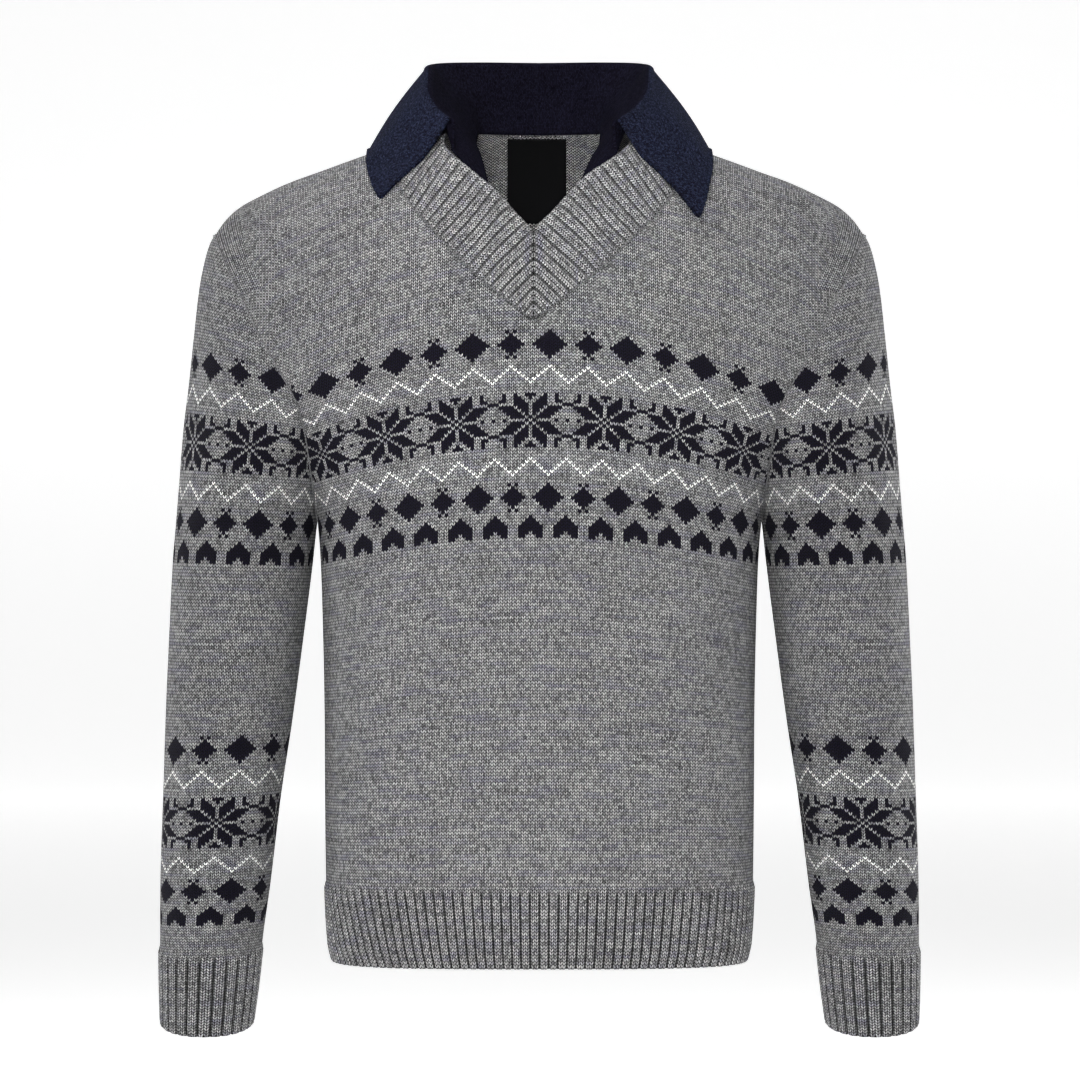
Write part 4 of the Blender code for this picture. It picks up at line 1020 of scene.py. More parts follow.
class Wardrobe:
    """Every finish, made once, and the node groups that pieces share."""

    def __init__(self) -> None:
        """Makes them all."""
        self.grey = MelangeKnit("grey_knit", NordicBand()).build()
        # The band's groove and seam set its painted shade in the rib grooves and along the mitre and the
        # front seam.
        self.rib = MelangeKnit("grey_rib", split=0.6, groove=0.60, pillar=0.40, seam=0.95,
                               streak=(1.3, 0.05)).build()
        self.purl = MelangeKnit("grey_purl", purl=True).build()
        self.fall = CollarKnit("navy_brushed", True).build()
        self.stand = CollarKnit("navy_plain", False, bloom=(0.038, 0.038, 0.074)).build()
        self.satin = LabelSatin().build()
        self.thread = Thread("grey_link", (0.27, 0.27, 0.28)).build()
        self.ribs, self.stitches = rib_group(), stitch_group()

    def dress(self, obj: Object, face: Material, rise: float) -> Object:
        """Raises a knitted piece's ribs, gives it its face, and lines its wall with purl stitches."""
        Group.run(obj, self.ribs, {"Rise": rise, "Material": face})
        thicken(obj, WALL, self.purl)
        return obj


# ---------------- dressing a piece

@dataclass(frozen=True)
class Cloth:
    """How a piece of cloth is cut and what it stands for."""

    node: str
    slot: str
    flat: tuple[float, float]
    area: float
    held: str
    rests_on: tuple[str, ...]


def thicken(obj: Object, thickness: float, lining: Material | None = None) -> None:
    """Gives a skin its wall, inwards, with a finish of its own on the inside if there is one."""
    wall = obj.modifiers.new("wall", "SOLIDIFY")
    wall.thickness = thickness
    wall.offset = -1.0
    if lining is not None:
        obj.data.materials.append(lining)
        wall.material_offset = 1


def place_cloth(obj: Object, cloth: Cloth) -> None:
    """Fixes a piece of cloth to the body, hides the solid that it stands for and logs its name and how many
    points it has.

    Args:
        obj: The finished piece.
        cloth: What it stands for and how it is cut.
    """
    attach(obj, BODY)
    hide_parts(cloth.node)
    LOG.info("%s: %d points", obj.name, len(obj.data.vertices))


def sew(name: str, paths: Sequence[Array], tree: NodeTree, sizes: dict[str, float],
        material: Material) -> Object:
    """Sews rows of stitches along paths.

    Args:
        name: The piece's name.
        paths: Each path's points.
        tree: The stitch group.
        sizes: The group's sizes.
        material: The yarn's finish.

    Returns:
        The stitches, on the body.
    """
    mesh = bpy.data.meshes.new(name)
    points, edges, start = [], [], 0
    for path in paths:
        points += path.tolist()
        edges += [(start + i, start + i + 1) for i in range(len(path) - 1)]
        start += len(path)
    mesh.from_pydata(points, edges, [])
    obj = put_in_scene(name, mesh)
    Group.run(obj, tree, {**sizes, "Material": material})
    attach(obj, BODY)
    LOG.info("%s: %d rows", name, len(paths))
    return obj


# Columns of one rib, close together in the groove.
RIB_PLACES = (0.0, 0.05, 0.11, 0.22, 0.5, 0.78, 0.89, 0.95)
CUFF_PLACES = (0.0, 0.07, 0.17, 0.5, 0.83, 0.93)


def rib_columns(ribs: int, places: Sequence[float]) -> Array:
    """Places of the columns among the ribs, from 0 to the number of ribs."""
    return np.append((np.arange(ribs)[:, None] + np.asarray(places)[None, :]).ravel(), float(ribs))


def rib_wales(place: Array, crest: float = 0.80, wales: int = 2) -> Array:
    """Wales at places among the ribs, with so many on a crest and one in a groove."""
    side = (1 - crest) / 2
    within = np.interp(place % 1, (0.0, side, 1 - side, 1.0), (-0.5, 0.0, wales, wales + 0.5))
    return np.floor(place) * (wales + 1) + within


def rib_levels(end: float, top: float) -> Array:
    """The levels of the rows of a hem or a cuff, closer together at its end."""
    return np.concatenate((end + np.array([0.0, 0.0012, 0.003]), np.linspace(end + 0.007, top, 11)))


def rib_lift(level: float, end: float, top: float) -> float:
    """How far ribs rise at a level: less at their end, and not at all where the plain cloth starts."""
    return min((top - level) / 0.005, 1.0) * (0.6 if level < end + 0.0005 else 1.0)


# ---------------- front and back

@dataclass
class BodyStitches:
    """Where the wales and courses of the front and the back run."""

    body: BodyForm
    star_across: float = -0.0067        # the middle star lies a little to one side
    wale_width: Table = Table(("level", "width"), ((-0.635, 0.00262), (-0.291, 0.00262), (-0.225, 0.00276),
                                                   (-0.165, 0.0029), (0.05, 0.003)))
    course_at: Table = Table(("level", "course"), ((-0.640, 170.5), (-0.3049, 33.0), (-0.2256, 0.0),
                                                   (-0.1689, -24.0), (-0.1, -52.5), (0.12, -144.0)))
    droop: Table = Table(("level", "droop"), ((-0.600, 0.0), (-0.3049, 0.757), (-0.2256, 0.93),
                                              (-0.1689, 1.14), (-0.05, 1.3)))

    def __post_init__(self) -> None:
        """Measures the cloth across and up, once for each face."""
        self._levels = np.linspace(-0.64, -0.2, 45)
        self._across = np.linspace(0.0, 0.256, 513)
        self._shoulder = np.linspace(0.0, 0.25, 126)
        climbs = np.linspace(0.0, self.body.shoulder_turn, 101)
        low = self._levels[:, None] - self.body.chest_level
        self._arcs, self._lengths = {}, {}
        for side in Side:
            self._arcs[side] = lengths_along(self.body.point(self._across[None, :], low, side))
            over = self.body.point(self._shoulder[:, None], climbs[None, :], side)
            self._lengths[side] = lengths_along(over)

    def read(self, across: Array, climb: Array, side: Side) -> Array:
        """The stitch coordinates at places on the body.

        Args:
            across: Distances across from the centre.
            climb: Distances up the cloth from the chest level.
            side: The front or the back.

        Returns:
            (wale, course) at each place.
        """
        level = self.body.chest_level + np.minimum(climb, 0.0)
        row = (level - self._levels[0]) / (self._levels[1] - self._levels[0])
        aside = np.abs(across)
        arc = read_grid(self._arcs[side], row, aside / (self._across[1] - self._across[0]))
        turn = self.body.shoulder_turn
        length = read_grid(self._lengths[side], aside / (self._shoulder[1] - self._shoulder[0]),
                           np.clip(climb, 0.0, turn) / turn * (self._lengths[side].shape[1] - 1))
        height = level + length
        centre = height
        for _ in range(6):
            centre = height + self.droop.at("droop", centre) * across ** 2
        wale = (np.sign(across) * arc - self.star_across) / self.wale_width.at("width", centre) + 0.5
        return np.stack([wale, self.course_at.at("course", centre)], axis=-1)


@dataclass
class Panel:
    """The front or the back with its hem rib, as fine cloth."""

    side: Side
    body: BodyForm
    neck: NeckForm
    stitches: BodyStitches
    creases: tuple[Crease, ...]
    hem: float = -0.635
    rib_top: float = -0.5744
    ribs: int = 62
    rib_rise: float = 0.0016
    rib_slant: Table = Table(("across", "shift"), (     # how far the ribs lean aside by the hem's edge
        (-0.164, 0.0), (-0.148, 0.007), (-0.14, 0.011), (-0.13, 0.011), (-0.082, 0.0062), (0.0, 0.0),
        (0.1, -0.0026), (0.164, 0.0)))
    seam_gap: float = 0.00008
    seam_dip: float = 0.0006
    columns: int = 124
    oval: tuple[float, float, float] = (0.165, 0.1, 2.8)    # its half width, depth and squareness
    edge_wale: float = 0.0029
    edge_course: float = 0.0024
    plain_courses: float = 200.0    # taken off the courses by the armhole, which keeps the charted band away
    foot_rows: int = 0              # how many of the 12 rows over the chest come before the neck's foot

    @property
    def name(self) -> str:
        """The node that this panel stands for."""
        return self.side.word

    def neckline(self, place: Array) -> Array:
        """The neck edge from its foot to the shoulder seam, as (distance across, climb)."""
        return self.neck.front_line(place) if self.side is Side.FRONT else self.neck.back_line(place)

    def shares(self) -> Array:
        """Shares of the half width, closer together at the two edges."""
        inner = np.linspace(-1.0, 1.0, self.columns - 7)[1:-1]
        edge = np.append(1 - np.array([0.0, 0.003, 0.007, 0.012]), (1 + inner[-1]) / 2 - 0.001)
        both = np.unique(np.concatenate((inner, edge, -edge)))
        both[np.argmin(np.abs(both))] = 0.0
        return both

    def walk(self, share: Array) -> Array:
        """Shares of the half width that are even along the cloth of the body's oval."""
        half, depth, square = self.oval
        turn = np.linspace(math.pi / 2, 0.0, 601)
        across, out = np.abs(np.cos(turn)) / half, np.abs(np.sin(turn)) / depth
        radius = (across ** square + out ** square) ** (-1 / square)
        points = np.stack([np.cos(turn) * radius, np.sin(turn) * radius], axis=-1)
        reached = lengths_along(points)
        return np.interp(np.abs(share), reached / reached[-1], points[:, 0] / half)

    def grid(self, level: Array, share: Array, place: Array) -> tuple[Array, Array, Array]:
        """Points of the panel.

        Args:
            level: Levels at the side seam or the armhole, one for each row.
            share: Shares of the half width, one for each column.
            place: Places along the neck edge, one for each row, or below zero under the neck's foot.

        Returns:
            The points, their stitch coordinates, and their coordinates at the armhole.
        """
        underarm, chest = self.body.underarm, self.body.chest_level
        level, place = level[:, None], place[:, None]
        seam = self.body.armhole_place(np.maximum(level, underarm))
        low = level <= underarm
        climb_side = np.where(low, level - chest, seam[..., 1])
        across_side = np.where(low, self.body.sections.at("half_width", level), seam[..., 0])
        start = float(self.neckline(np.array(0.0))[1])
        rise = np.clip((level - underarm) / (self.foot_level - underarm), 0.0, 1.0)
        line = self.neckline(np.clip(place, 0.0, 1.0))
        rising = underarm - chest + (start - underarm + chest) * rise
        climb_middle = np.where(low, level - chest, np.where(place < 0, rising, line[..., 1]))
        across_middle = np.where(place > 0, line[..., 0], 0.0)
        even = np.clip((level - underarm) / (chest - underarm), 0.0, 1.0)
        even = self.walk(share)[None, :] * (1 - even) + np.abs(share)[None, :] * even
        across = across_middle + (across_side - across_middle) * even
        climb = climb_middle + (climb_side - climb_middle) * even
        straight = np.where(share[None, :] < 0, -across, across)
        leaned = straight + self.neck.lean(across) * rise if self.side is Side.FRONT else straight
        points = self.body.point(leaned, climb, self.side)
        points[..., 1] -= self.side.value * self.pushes(straight, points)
        points[..., 1] += self.side.value * self.seam_gap / 2
        edge = self.edge_map(across_side - across, level)
        return points, self.stitches.read(leaned, climb, self.side), edge

    @property
    def foot_level(self) -> float:
        """The level at the armhole of the row where the neck edge begins."""
        return float(self.body.armhole_levels(CAP_START, 12)[self.foot_rows])

    def pushes(self, across: Array, points: Array) -> Array:
        """How far the creases push points in, by distances across that the neck's lean hasn't changed."""
        level = points[..., 2]
        depth = self.body.sections.at(self.side.word, level)
        total = sum(crease.push(across, level) for crease in self.creases)
        return total * np.minimum(np.abs(points[..., 1]) / depth * 1.3, 1.0)

    def edge_map(self, inwards: Array, level: Array) -> Array:
        """(wales from the armhole, courses down from the shoulder tip), for the fashioned strip."""
        levels = np.linspace(self.body.underarm, self.body.tip, 200)
        seam = self.body.armhole_place(levels)
        reached = lengths_along(seam)
        run = (reached[-1] - np.interp(level, levels, reached)) / self.edge_course - self.plain_courses
        slope = np.gradient(seam[:, 0]) / np.maximum(np.gradient(seam[:, 1]), 1e-6)
        square = 1 / np.sqrt(1 + np.interp(level, levels, slope) ** 2)
        wales = np.where(level > self.body.underarm, inwards * square / self.edge_wale, NO_EDGE[0])
        return np.stack(np.broadcast_arrays(wales, run), axis=-1)

    def dip(self, points: Array, share: Array, place: Array) -> Array:
        """Turns the cloth in a little where it is seamed."""
        normals = outward(points) * -self.side.value
        side = np.clip((np.abs(share)[None, :] - 0.985) / 0.015, 0.0, 1.0) ** 2
        neck = np.clip(1 - np.abs(share)[None, :] / 0.03, 0.0, 1.0) ** 2 * 0.6
        neck = np.where(place[:, None] >= 0, neck, 0.0)
        deep = self.seam_dip * np.maximum(side, neck)
        return points - normals * deep[..., None]

    def build(self, wardrobe: Wardrobe) -> Object:
        """Makes the panel's mesh and gives it its finish."""
        skin = Skin(self.side is Side.BACK)
        ribbed = self.rib_lines(skin)
        share = self.shares()
        levels = np.concatenate((np.linspace(self.rib_top, self.body.underarm, 78),
                                 np.linspace(self.body.underarm, CAP_START, 35)[1:]))
        fine = self.body.armhole_levels(CAP_START, 96)
        full = np.concatenate((levels, fine[1:self.foot_rows * 8 + 1]))
        over = fine[self.foot_rows * 8:]
        under_neck = np.full(len(full), -1.0)
        points, stitch, edge = self.grid(full, share, under_neck)
        points = self.dip(points, share, under_neck)
        plain = [skin.add(Line(points[i], share, stitch[i], edge=edge[i])) for i in range(1, len(full))]
        skin.weave_all(ribbed)
        skin.weave(self.join(ribbed[-1], stitch[0], share), plain[0])
        skin.weave_all(plain)
        self.add_shoulders(skin, plain[-1], share, over)
        return wardrobe.dress(skin.build(self.name + "_knit"), wardrobe.grey, self.rib_rise)

    def join(self, line: Line, stitch: Array, share: Array) -> Line:
        """The rib's top row with the stitch coordinates of the plain cloth over it."""
        line.stitch = np.stack([np.interp(line.places, share, stitch[:, k]) for k in (0, 1)], axis=-1)
        return line

    def rib_lines(self, skin: Skin) -> list[Line]:
        """Adds the rows of the hem rib."""
        count = rib_columns(self.ribs, RIB_PLACES)
        fine = np.linspace(-1.0, 1.0, 1601)
        top = self.grid(np.array([self.rib_top]), fine, np.array([-1.0]))[0][0]
        reached = lengths_along(top)
        share = np.interp(count / self.ribs, reached / reached[-1], fine)
        half = abs(float(top[0, 0]))
        leaning = 1 if self.side is Side.FRONT else -1      # seen from outside, both faces lean the same way
        lines = []
        for level in rib_levels(self.hem, self.rib_top):
            lean = (self.rib_top - level) / (self.rib_top - self.hem)
            leaned = share + self.rib_slant.at("shift", share * half) * leaning * lean / half
            points, stitch, _ = self.grid(np.array([level]), leaned, np.array([-1.0]))
            points = points[0]
            points[:, 1] -= self.side.value * self.seam_dip * max(0.0, 1 - (level - self.hem) / 0.002) ** 2
            own = np.stack([rib_wales(count), stitch[0, :, 1]], axis=-1)
            rib = np.stack([count, np.full(len(count), rib_lift(level, self.hem, self.rib_top))], axis=-1)
            lines.append(skin.add(Line(points, leaned, own, rib=rib)))
        return lines

    def add_shoulders(self, skin: Skin, foot: Line, share: Array, levels: Array) -> None:
        """Adds the two strips of cloth beside the neck."""
        middle = int(np.argmin(np.abs(share)))
        place = np.linspace(0.0, 1.0, len(levels))
        halves = ((share[:middle + 1], foot.part(0, middle)), (share[middle:], foot.part(middle, len(share))))
        for keep, line in halves:
            signed = np.where(keep == 0, math.copysign(1e-9, keep.sum()), keep)
            points, stitch, edge = self.grid(levels, signed, place)
            points = self.dip(points, keep, place)
            lines = [line]
            lines += [skin.add(Line(points[i], keep, stitch[i], edge=edge[i])) for i in range(1, len(levels))]
            skin.weave_all(lines)


# ---------------- sleeves

@dataclass(frozen=True)
class SleeveForm:
    """The form of a sleeve: level sections, set to the armhole seam over the underarm."""

    body: BodyForm
    fullness: float = 2.15
    girth: float = 0.33                 # what turns shares of the way round into metres, for creases
    seam_reach: float = 3.0             # how fast the pull of the armhole seam fades, as a power
    seam_gap: float = 0.0001
    sections: Table = Table(
        ("level", "outer", "inner", "half_depth", "middle", "tilt"),
        ((-0.6835, 0.2893, 0.22, 0.037, -0.016, 0.2), (-0.657, 0.2903, 0.2165, 0.0385, -0.014, 0.19),
         (-0.6145, 0.2911, 0.2118, 0.041, -0.01, 0.16), (-0.582, 0.2912, 0.2073, 0.043, -0.007, 0.13),
         (-0.51, 0.2895, 0.1989, 0.0465, -0.001, 0.08), (-0.453, 0.288, 0.1905, 0.05, 0.003, 0.04),
         (-0.38, 0.2848, 0.1808, 0.055, 0.003, 0.0), (-0.33, 0.2822, 0.1745, 0.059, 0.002, 0.0),
         (-0.299, 0.2795, 0.171, 0.0615, 0.001, 0.0), (-0.265, 0.2768, 0.165, 0.064, 0.001, 0.0),
         (-0.23, 0.274, 0.16, 0.0655, 0.001, 0.0), (-0.195, 0.2699, 0.158, 0.065, 0.002, 0.0),
         (-0.16, 0.2663, 0.164, 0.061, 0.003, 0.0), (-0.121, 0.262, 0.185, 0.05, 0.004, 0.0),
         (-0.101, 0.2583, 0.202, 0.04, 0.005, 0.0), (-0.087, 0.2543, 0.222, 0.028, 0.005, 0.0),
         (-0.0785, 0.2502, 0.236, 0.016, 0.005, 0.0)))
    creases: tuple[Crease, ...] = (
        Crease((0.16, -0.262), (0.28, -0.300), 0.016, 0.0028),
        Crease((0.10, -0.318), (0.30, -0.352), 0.014, 0.0022),
        Crease((0.84, -0.270), (0.70, -0.318), 0.016, 0.0026),
        Crease((0.10, -0.420), (0.27, -0.440), 0.013, 0.0018),
        Crease((0.70, -0.436), (0.93, -0.452), 0.014, 0.0022),
        Crease((0.10, -0.478), (0.32, -0.466), 0.014, 0.0016))

    def opening(self, level: Array) -> Array:
        """Half the angle of a section that the cloth covers, from the outer side to the seam."""
        middle, half = self._across(level)
        cosine = np.clip((self.body.armhole.at("across", level) - middle) / half, -1, 1)
        angle = np.arccos(np.clip(signed_power(cosine, self.fullness / 2), -1, 1))
        return np.where(level <= self.body.underarm, math.pi, angle)

    def _across(self, level: Array) -> tuple[Array, Array]:
        """The middle and the half width of sections."""
        outer, inner = self.sections.at("outer", level), self.sections.at("inner", level)
        return (outer + inner) / 2, (outer - inner) / 2

    def seam_point(self, level: Array, side: Side) -> Array:
        """The armhole seam at levels, moved out by the seam's gap."""
        place = self.body.armhole_place(level)
        points = self.body.point(place[..., 0], place[..., 1], side)
        return points + np.array([self.seam_gap, side.value * self.seam_gap / 2, 0.0])

    def section_point(self, angle: Array, level: Array, dent: Any = 0.0) -> Array:
        """Points of the bare section at angles from the outer side."""
        middle, half = self._across(level)
        power = 2 / self.fullness
        x = middle + signed_power(np.cos(angle), power) * (half - dent)
        y = self.sections.at("middle", level) + signed_power(np.sin(angle), power) * (
            self.sections.at("half_depth", level) - dent)
        return np.stack(np.broadcast_arrays(x, y, level), axis=-1)

    def point(self, share: Array, level: Array) -> Array:
        """Points of the sleeve on the +X side.

        Args:
            share: Shares of the way round, from the front seam by the outer side to the back.
            level: Levels.

        Returns:
            The points, in the last axis.
        """
        share, level = np.broadcast_arrays(np.asarray(share, float), np.asarray(level, float))
        limit = self.opening(level)
        angle = limit * (2 * share - 1)
        dent = sum(crease.push(share, level, self.girth) for crease in self.creases)
        points = self.section_point(angle, level, dent)
        for side, half in ((Side.FRONT, angle < 0), (Side.BACK, angle >= 0)):
            end = self.section_point(side.value * limit, level)
            pull = (np.abs(angle) / limit) ** self.seam_reach * (half & (level > self.body.underarm))
            points = points + (self.seam_point(level, side) - end) * pull[..., None]
        tilt = self.sections.at("tilt", level) * (points[..., 1] - self.sections.at("middle", level))
        points[..., 2] = points[..., 2] + tilt
        return points


@dataclass
class SleeveStitches:
    """Where the wales and courses of a sleeve run."""

    form: SleeveForm
    lower_shift: int = 118              # courses from the upper star band to the lower one
    change_level: float = -0.400        # where the count of courses starts again for the lower band
    axis: Table = Table(("level", "across"), ((-0.69, 0.255), (-0.45, 0.239), (-0.24, 0.217), (-0.08, 0.243)))
    slope: Table = Table(("level", "slope"), ((-0.60, -0.035), (-0.50, -0.035), (-0.40, 0.0), (-0.31, 0.035),
                                              (-0.27, 0.063), (-0.24, 0.105), (-0.205, 0.2), (-0.19, 0.229),
                                              (-0.10, 0.35)))
    course_at: Table = Table(("level", "course"), ((-0.690, 195.0), (-0.530, 118.0), (-0.2453, 0.0),
                                                   (-0.19, -24.0), (-0.06, -78.0)))
    wale_width: Table = Table(("level", "width"), ((-0.69, 0.0029), (-0.53, 0.0029), (-0.30, 0.0026),
                                                   (-0.08, 0.0026)))

    def arc(self, angle: Array, level: Array) -> Array:
        """Length round the section from its foremost place towards the body."""
        turns = np.linspace(-math.pi, math.pi, 721)
        levels = np.linspace(-0.70, self.form.body.tip, 90)
        arcs = lengths_along(self.form.section_point(turns[None, :], levels[:, None]))
        arcs = arcs[:, len(turns) // 4][:, None] - arcs
        row = (level - levels[0]) / (levels[1] - levels[0])
        return read_grid(arcs, row, (angle + math.pi) / (turns[1] - turns[0]))

    def centre_level(self, points: Array) -> Array:
        """The level on the sleeve's axis of the course that runs through points on the +X side."""
        level = points[..., 2]
        centre = level
        for _ in range(6):
            aside = points[..., 0] - self.axis.at("across", centre)
            centre = level - self.slope.at("slope", centre) * aside
        return centre

    def read(self, share: Array, level: Array, points: Array) -> tuple[Array, Array]:
        """The stitch coordinates of the sleeve on the +X side.

        Args:
            share: Shares of the way round.
            level: Levels, before the sleeve's tilt.
            points: The points there.

        Returns:
            (wale, course) at each place for the upper band's count, and for the lower one's.
        """
        angle = self.form.opening(level) * (2 * share - 1)
        centre = self.centre_level(points)
        wale = self.arc(angle, level) / self.wale_width.at("width", centre)
        upper = np.stack([wale + 0.5, self.course_at.at("course", centre)], axis=-1)
        return upper, upper - np.array([0.0, self.lower_shift])


@dataclass
class Sleeve:
    """A sleeve with its cuff rib, as fine cloth."""

    hand: Hand
    form: SleeveForm
    stitches: SleeveStitches
    rib_top: float = -0.6235
    ribs: int = 26
    rib_rise: float = 0.0016
    seam_dip: float = 0.0007
    narrowing: float = -0.16        # over this level, rows have fewer columns as they get shorter
    column: float = 0.0020          # how wide a column is there

    @property
    def name(self) -> str:
        """The node that this sleeve stands for."""
        return "sleeve_" + self.hand.word

    @property
    def cuff(self) -> float:
        """The level of the cuff's end."""
        return self.form.sections.rows[0][0]

    def rows(self) -> Array:
        """The levels of the rows from the cuff to the shoulder tip."""
        body = self.form.body
        return np.concatenate((rib_levels(self.cuff, self.rib_top),
                               np.linspace(self.rib_top, body.underarm, 84)[1:],
                               np.linspace(body.underarm, CAP_START, 30)[1:],
                               body.armhole_levels(CAP_START, 72)[1:]))

    def line(self, level: float, count: int) -> Line:
        """One row of the sleeve."""
        ribbed = level <= self.rib_top
        share = np.linspace(0.0, 1.0, count + 1)
        if ribbed:
            share = rib_columns(self.ribs, CUFF_PLACES) / self.ribs
        body = self.form.body
        points = self.form.point(share, np.full(len(share), level))
        closed = level <= body.underarm
        at = min(level, body.tip - 0.0015)      # the cap's end itself is too narrow to have a direction
        near = self.form.point(np.stack([np.clip(share + s, 0, 1) for s in (-0.002, 0.002)]), at)
        tall = [self.form.point(share, np.clip(at + s, self.cuff, body.tip)) for s in (-0.0004, 0.0004)]
        out = np.cross(near[1] - near[0], tall[1] - tall[0])
        out /= np.maximum(np.linalg.norm(out, axis=-1, keepdims=True), 1e-12)
        deep = 0.0 if closed else np.clip(1 - np.minimum(share, 1 - share) / 0.02, 0.0, 1.0) ** 2
        deep = np.maximum(deep, max(0.0, 1 - (level - self.cuff) / 0.002) ** 2)
        points = points - out * (self.seam_dip * deep * np.ones(len(share)))[:, None]
        upper, lower = self.stitches.read(share, np.full(len(share), level), points)
        stitch = lower if level < self.stitches.change_level else upper
        under, rib = None, None
        if ribbed:
            place = share * self.ribs
            lift = rib_lift(level, self.cuff, self.rib_top)
            rib = np.stack([place, np.full(len(place), lift)], axis=-1)
            under = np.stack([rib_wales(place), stitch[:, 1]], axis=-1)
            stitch = under if level < self.rib_top else stitch
        if self.hand is Hand.RIGHT:
            points = points * np.array([-1.0, 1.0, 1.0])
        return Line(points, share, stitch, under=under, rib=rib, closed=closed)

    def build(self, wardrobe: Wardrobe) -> Object:
        """Makes the sleeve's mesh and gives it its finish."""
        skin, lines, changed = Skin(), [], False
        full = self.ribs * len(CUFF_PLACES)
        for level in self.rows():
            length = lengths_along(self.form.point(np.linspace(0.0, 1.0, 60), np.full(60, level)))[-1]
            count = full if level <= self.narrowing else max(6, min(full, int(length / self.column)))
            line = self.line(level, count)
            if self.hand is Hand.RIGHT:
                line = line.turned()
            if not changed and level >= self.stitches.change_level:
                line.under = line.stitch - np.array([0.0, self.stitches.lower_shift])
                changed = True
            lines.append(skin.add(line))
        skin.weave_all(lines)
        return wardrobe.dress(skin.build(self.name + "_knit"), wardrobe.grey, self.rib_rise)


# ---------------- neckband

@dataclass
class Neckband:
    """One half of the ribbed neckband, from the mitre to the shoulder seam."""

    hand: Hand
    body: BodyForm
    neck: NeckForm
    rib_rise: float = 0.0012
    seam_gap: float = 0.0001
    course: float = 0.0021
    columns: int = 22
    # The dark lines are painted shade in the gap at the mitre and in the valley of the seam with the front.
    mitre_line: float = 0.0050      # how wide the dark line is by the mitre, and by the seam with the front
    seam_line: float = 0.0036

    @property
    def name(self) -> str:
        """The node that this half stands for."""
        return "neckband_" + self.hand.word

    def grid(self, share: Array, rib: Array) -> Array:
        """Points of the band at shares of its width and places among its ribs."""
        station = np.broadcast_to(self.neck.station_of(rib)[:, None], (len(rib), len(share)))
        start, end = self.neck.inner(station), self.neck.outer(station)
        flat = start + (end - start) * share[None, :, None]
        across = self.hand.value * flat[..., 0] + self.neck.lean(flat[..., 0])
        points = self.body.point(across, flat[..., 1], Side.FRONT)
        return points + np.array([self.hand.value * self.seam_gap / 2, -self.seam_gap / 2, 0.0])

    def build(self, wardrobe: Wardrobe) -> Object:
        """Makes the half band's mesh and gives it its finish."""
        edge = np.array([0.0, 0.012, 0.035])
        share = np.concatenate((edge, np.linspace(0.07, 0.93, self.columns - 6), 1 - edge[::-1]))
        rib = rib_columns(self.neck.ribs, RIB_PLACES)
        points = self.grid(share, rib)
        normals = outward(points) * self.hand.value
        deep = np.clip(1 - share / 0.05, 0, 1) ** 2 * 0.0009
        deep += np.clip((share - 0.95) / 0.05, 0, 1) ** 2 * 0.0006
        mitred = (rib <= self.neck.mitre_ribs)[:, None]
        mitre = np.clip(1 - share / 0.08, 0, 1)[None, :] ** 2 * mitred * 0.0012
        points = points - normals * (deep[None, :] + mitre)[..., None]
        width = lengths_along(self.grid(np.array([0.0, 0.5, 1.0]), rib))[:, -1]
        lift = np.clip(1.15 - np.abs(share * 2 - 1) ** 12, 0.35, 1.0)
        skin, lines = Skin(), []
        for i, place in enumerate(rib):
            wale = np.full(len(share), rib_wales(place, 0.85))
            stitch = np.stack([wale, share * width[i] / self.course], axis=-1)
            ribs = np.stack([np.full(len(share), place), lift], axis=-1)
            mitre_share = share if place <= self.neck.mitre_ribs else 1.0
            # How near the mitre and the front seam, in widths of their painted shade.
            near = np.minimum(mitre_share / self.mitre_line, (1 - share) / self.seam_line) * width[i]
            seamed = np.stack([near, np.zeros(len(share))], axis=-1)
            line = Line(points[i], share, stitch, edge=seamed, rib=ribs)
            lines.append(skin.add(line if self.hand is Hand.LEFT else line.turned()))
        skin.weave_all(lines)
        return wardrobe.dress(skin.build(self.name + "_rib"), wardrobe.rib, self.rib_rise)


# ---------------- collar

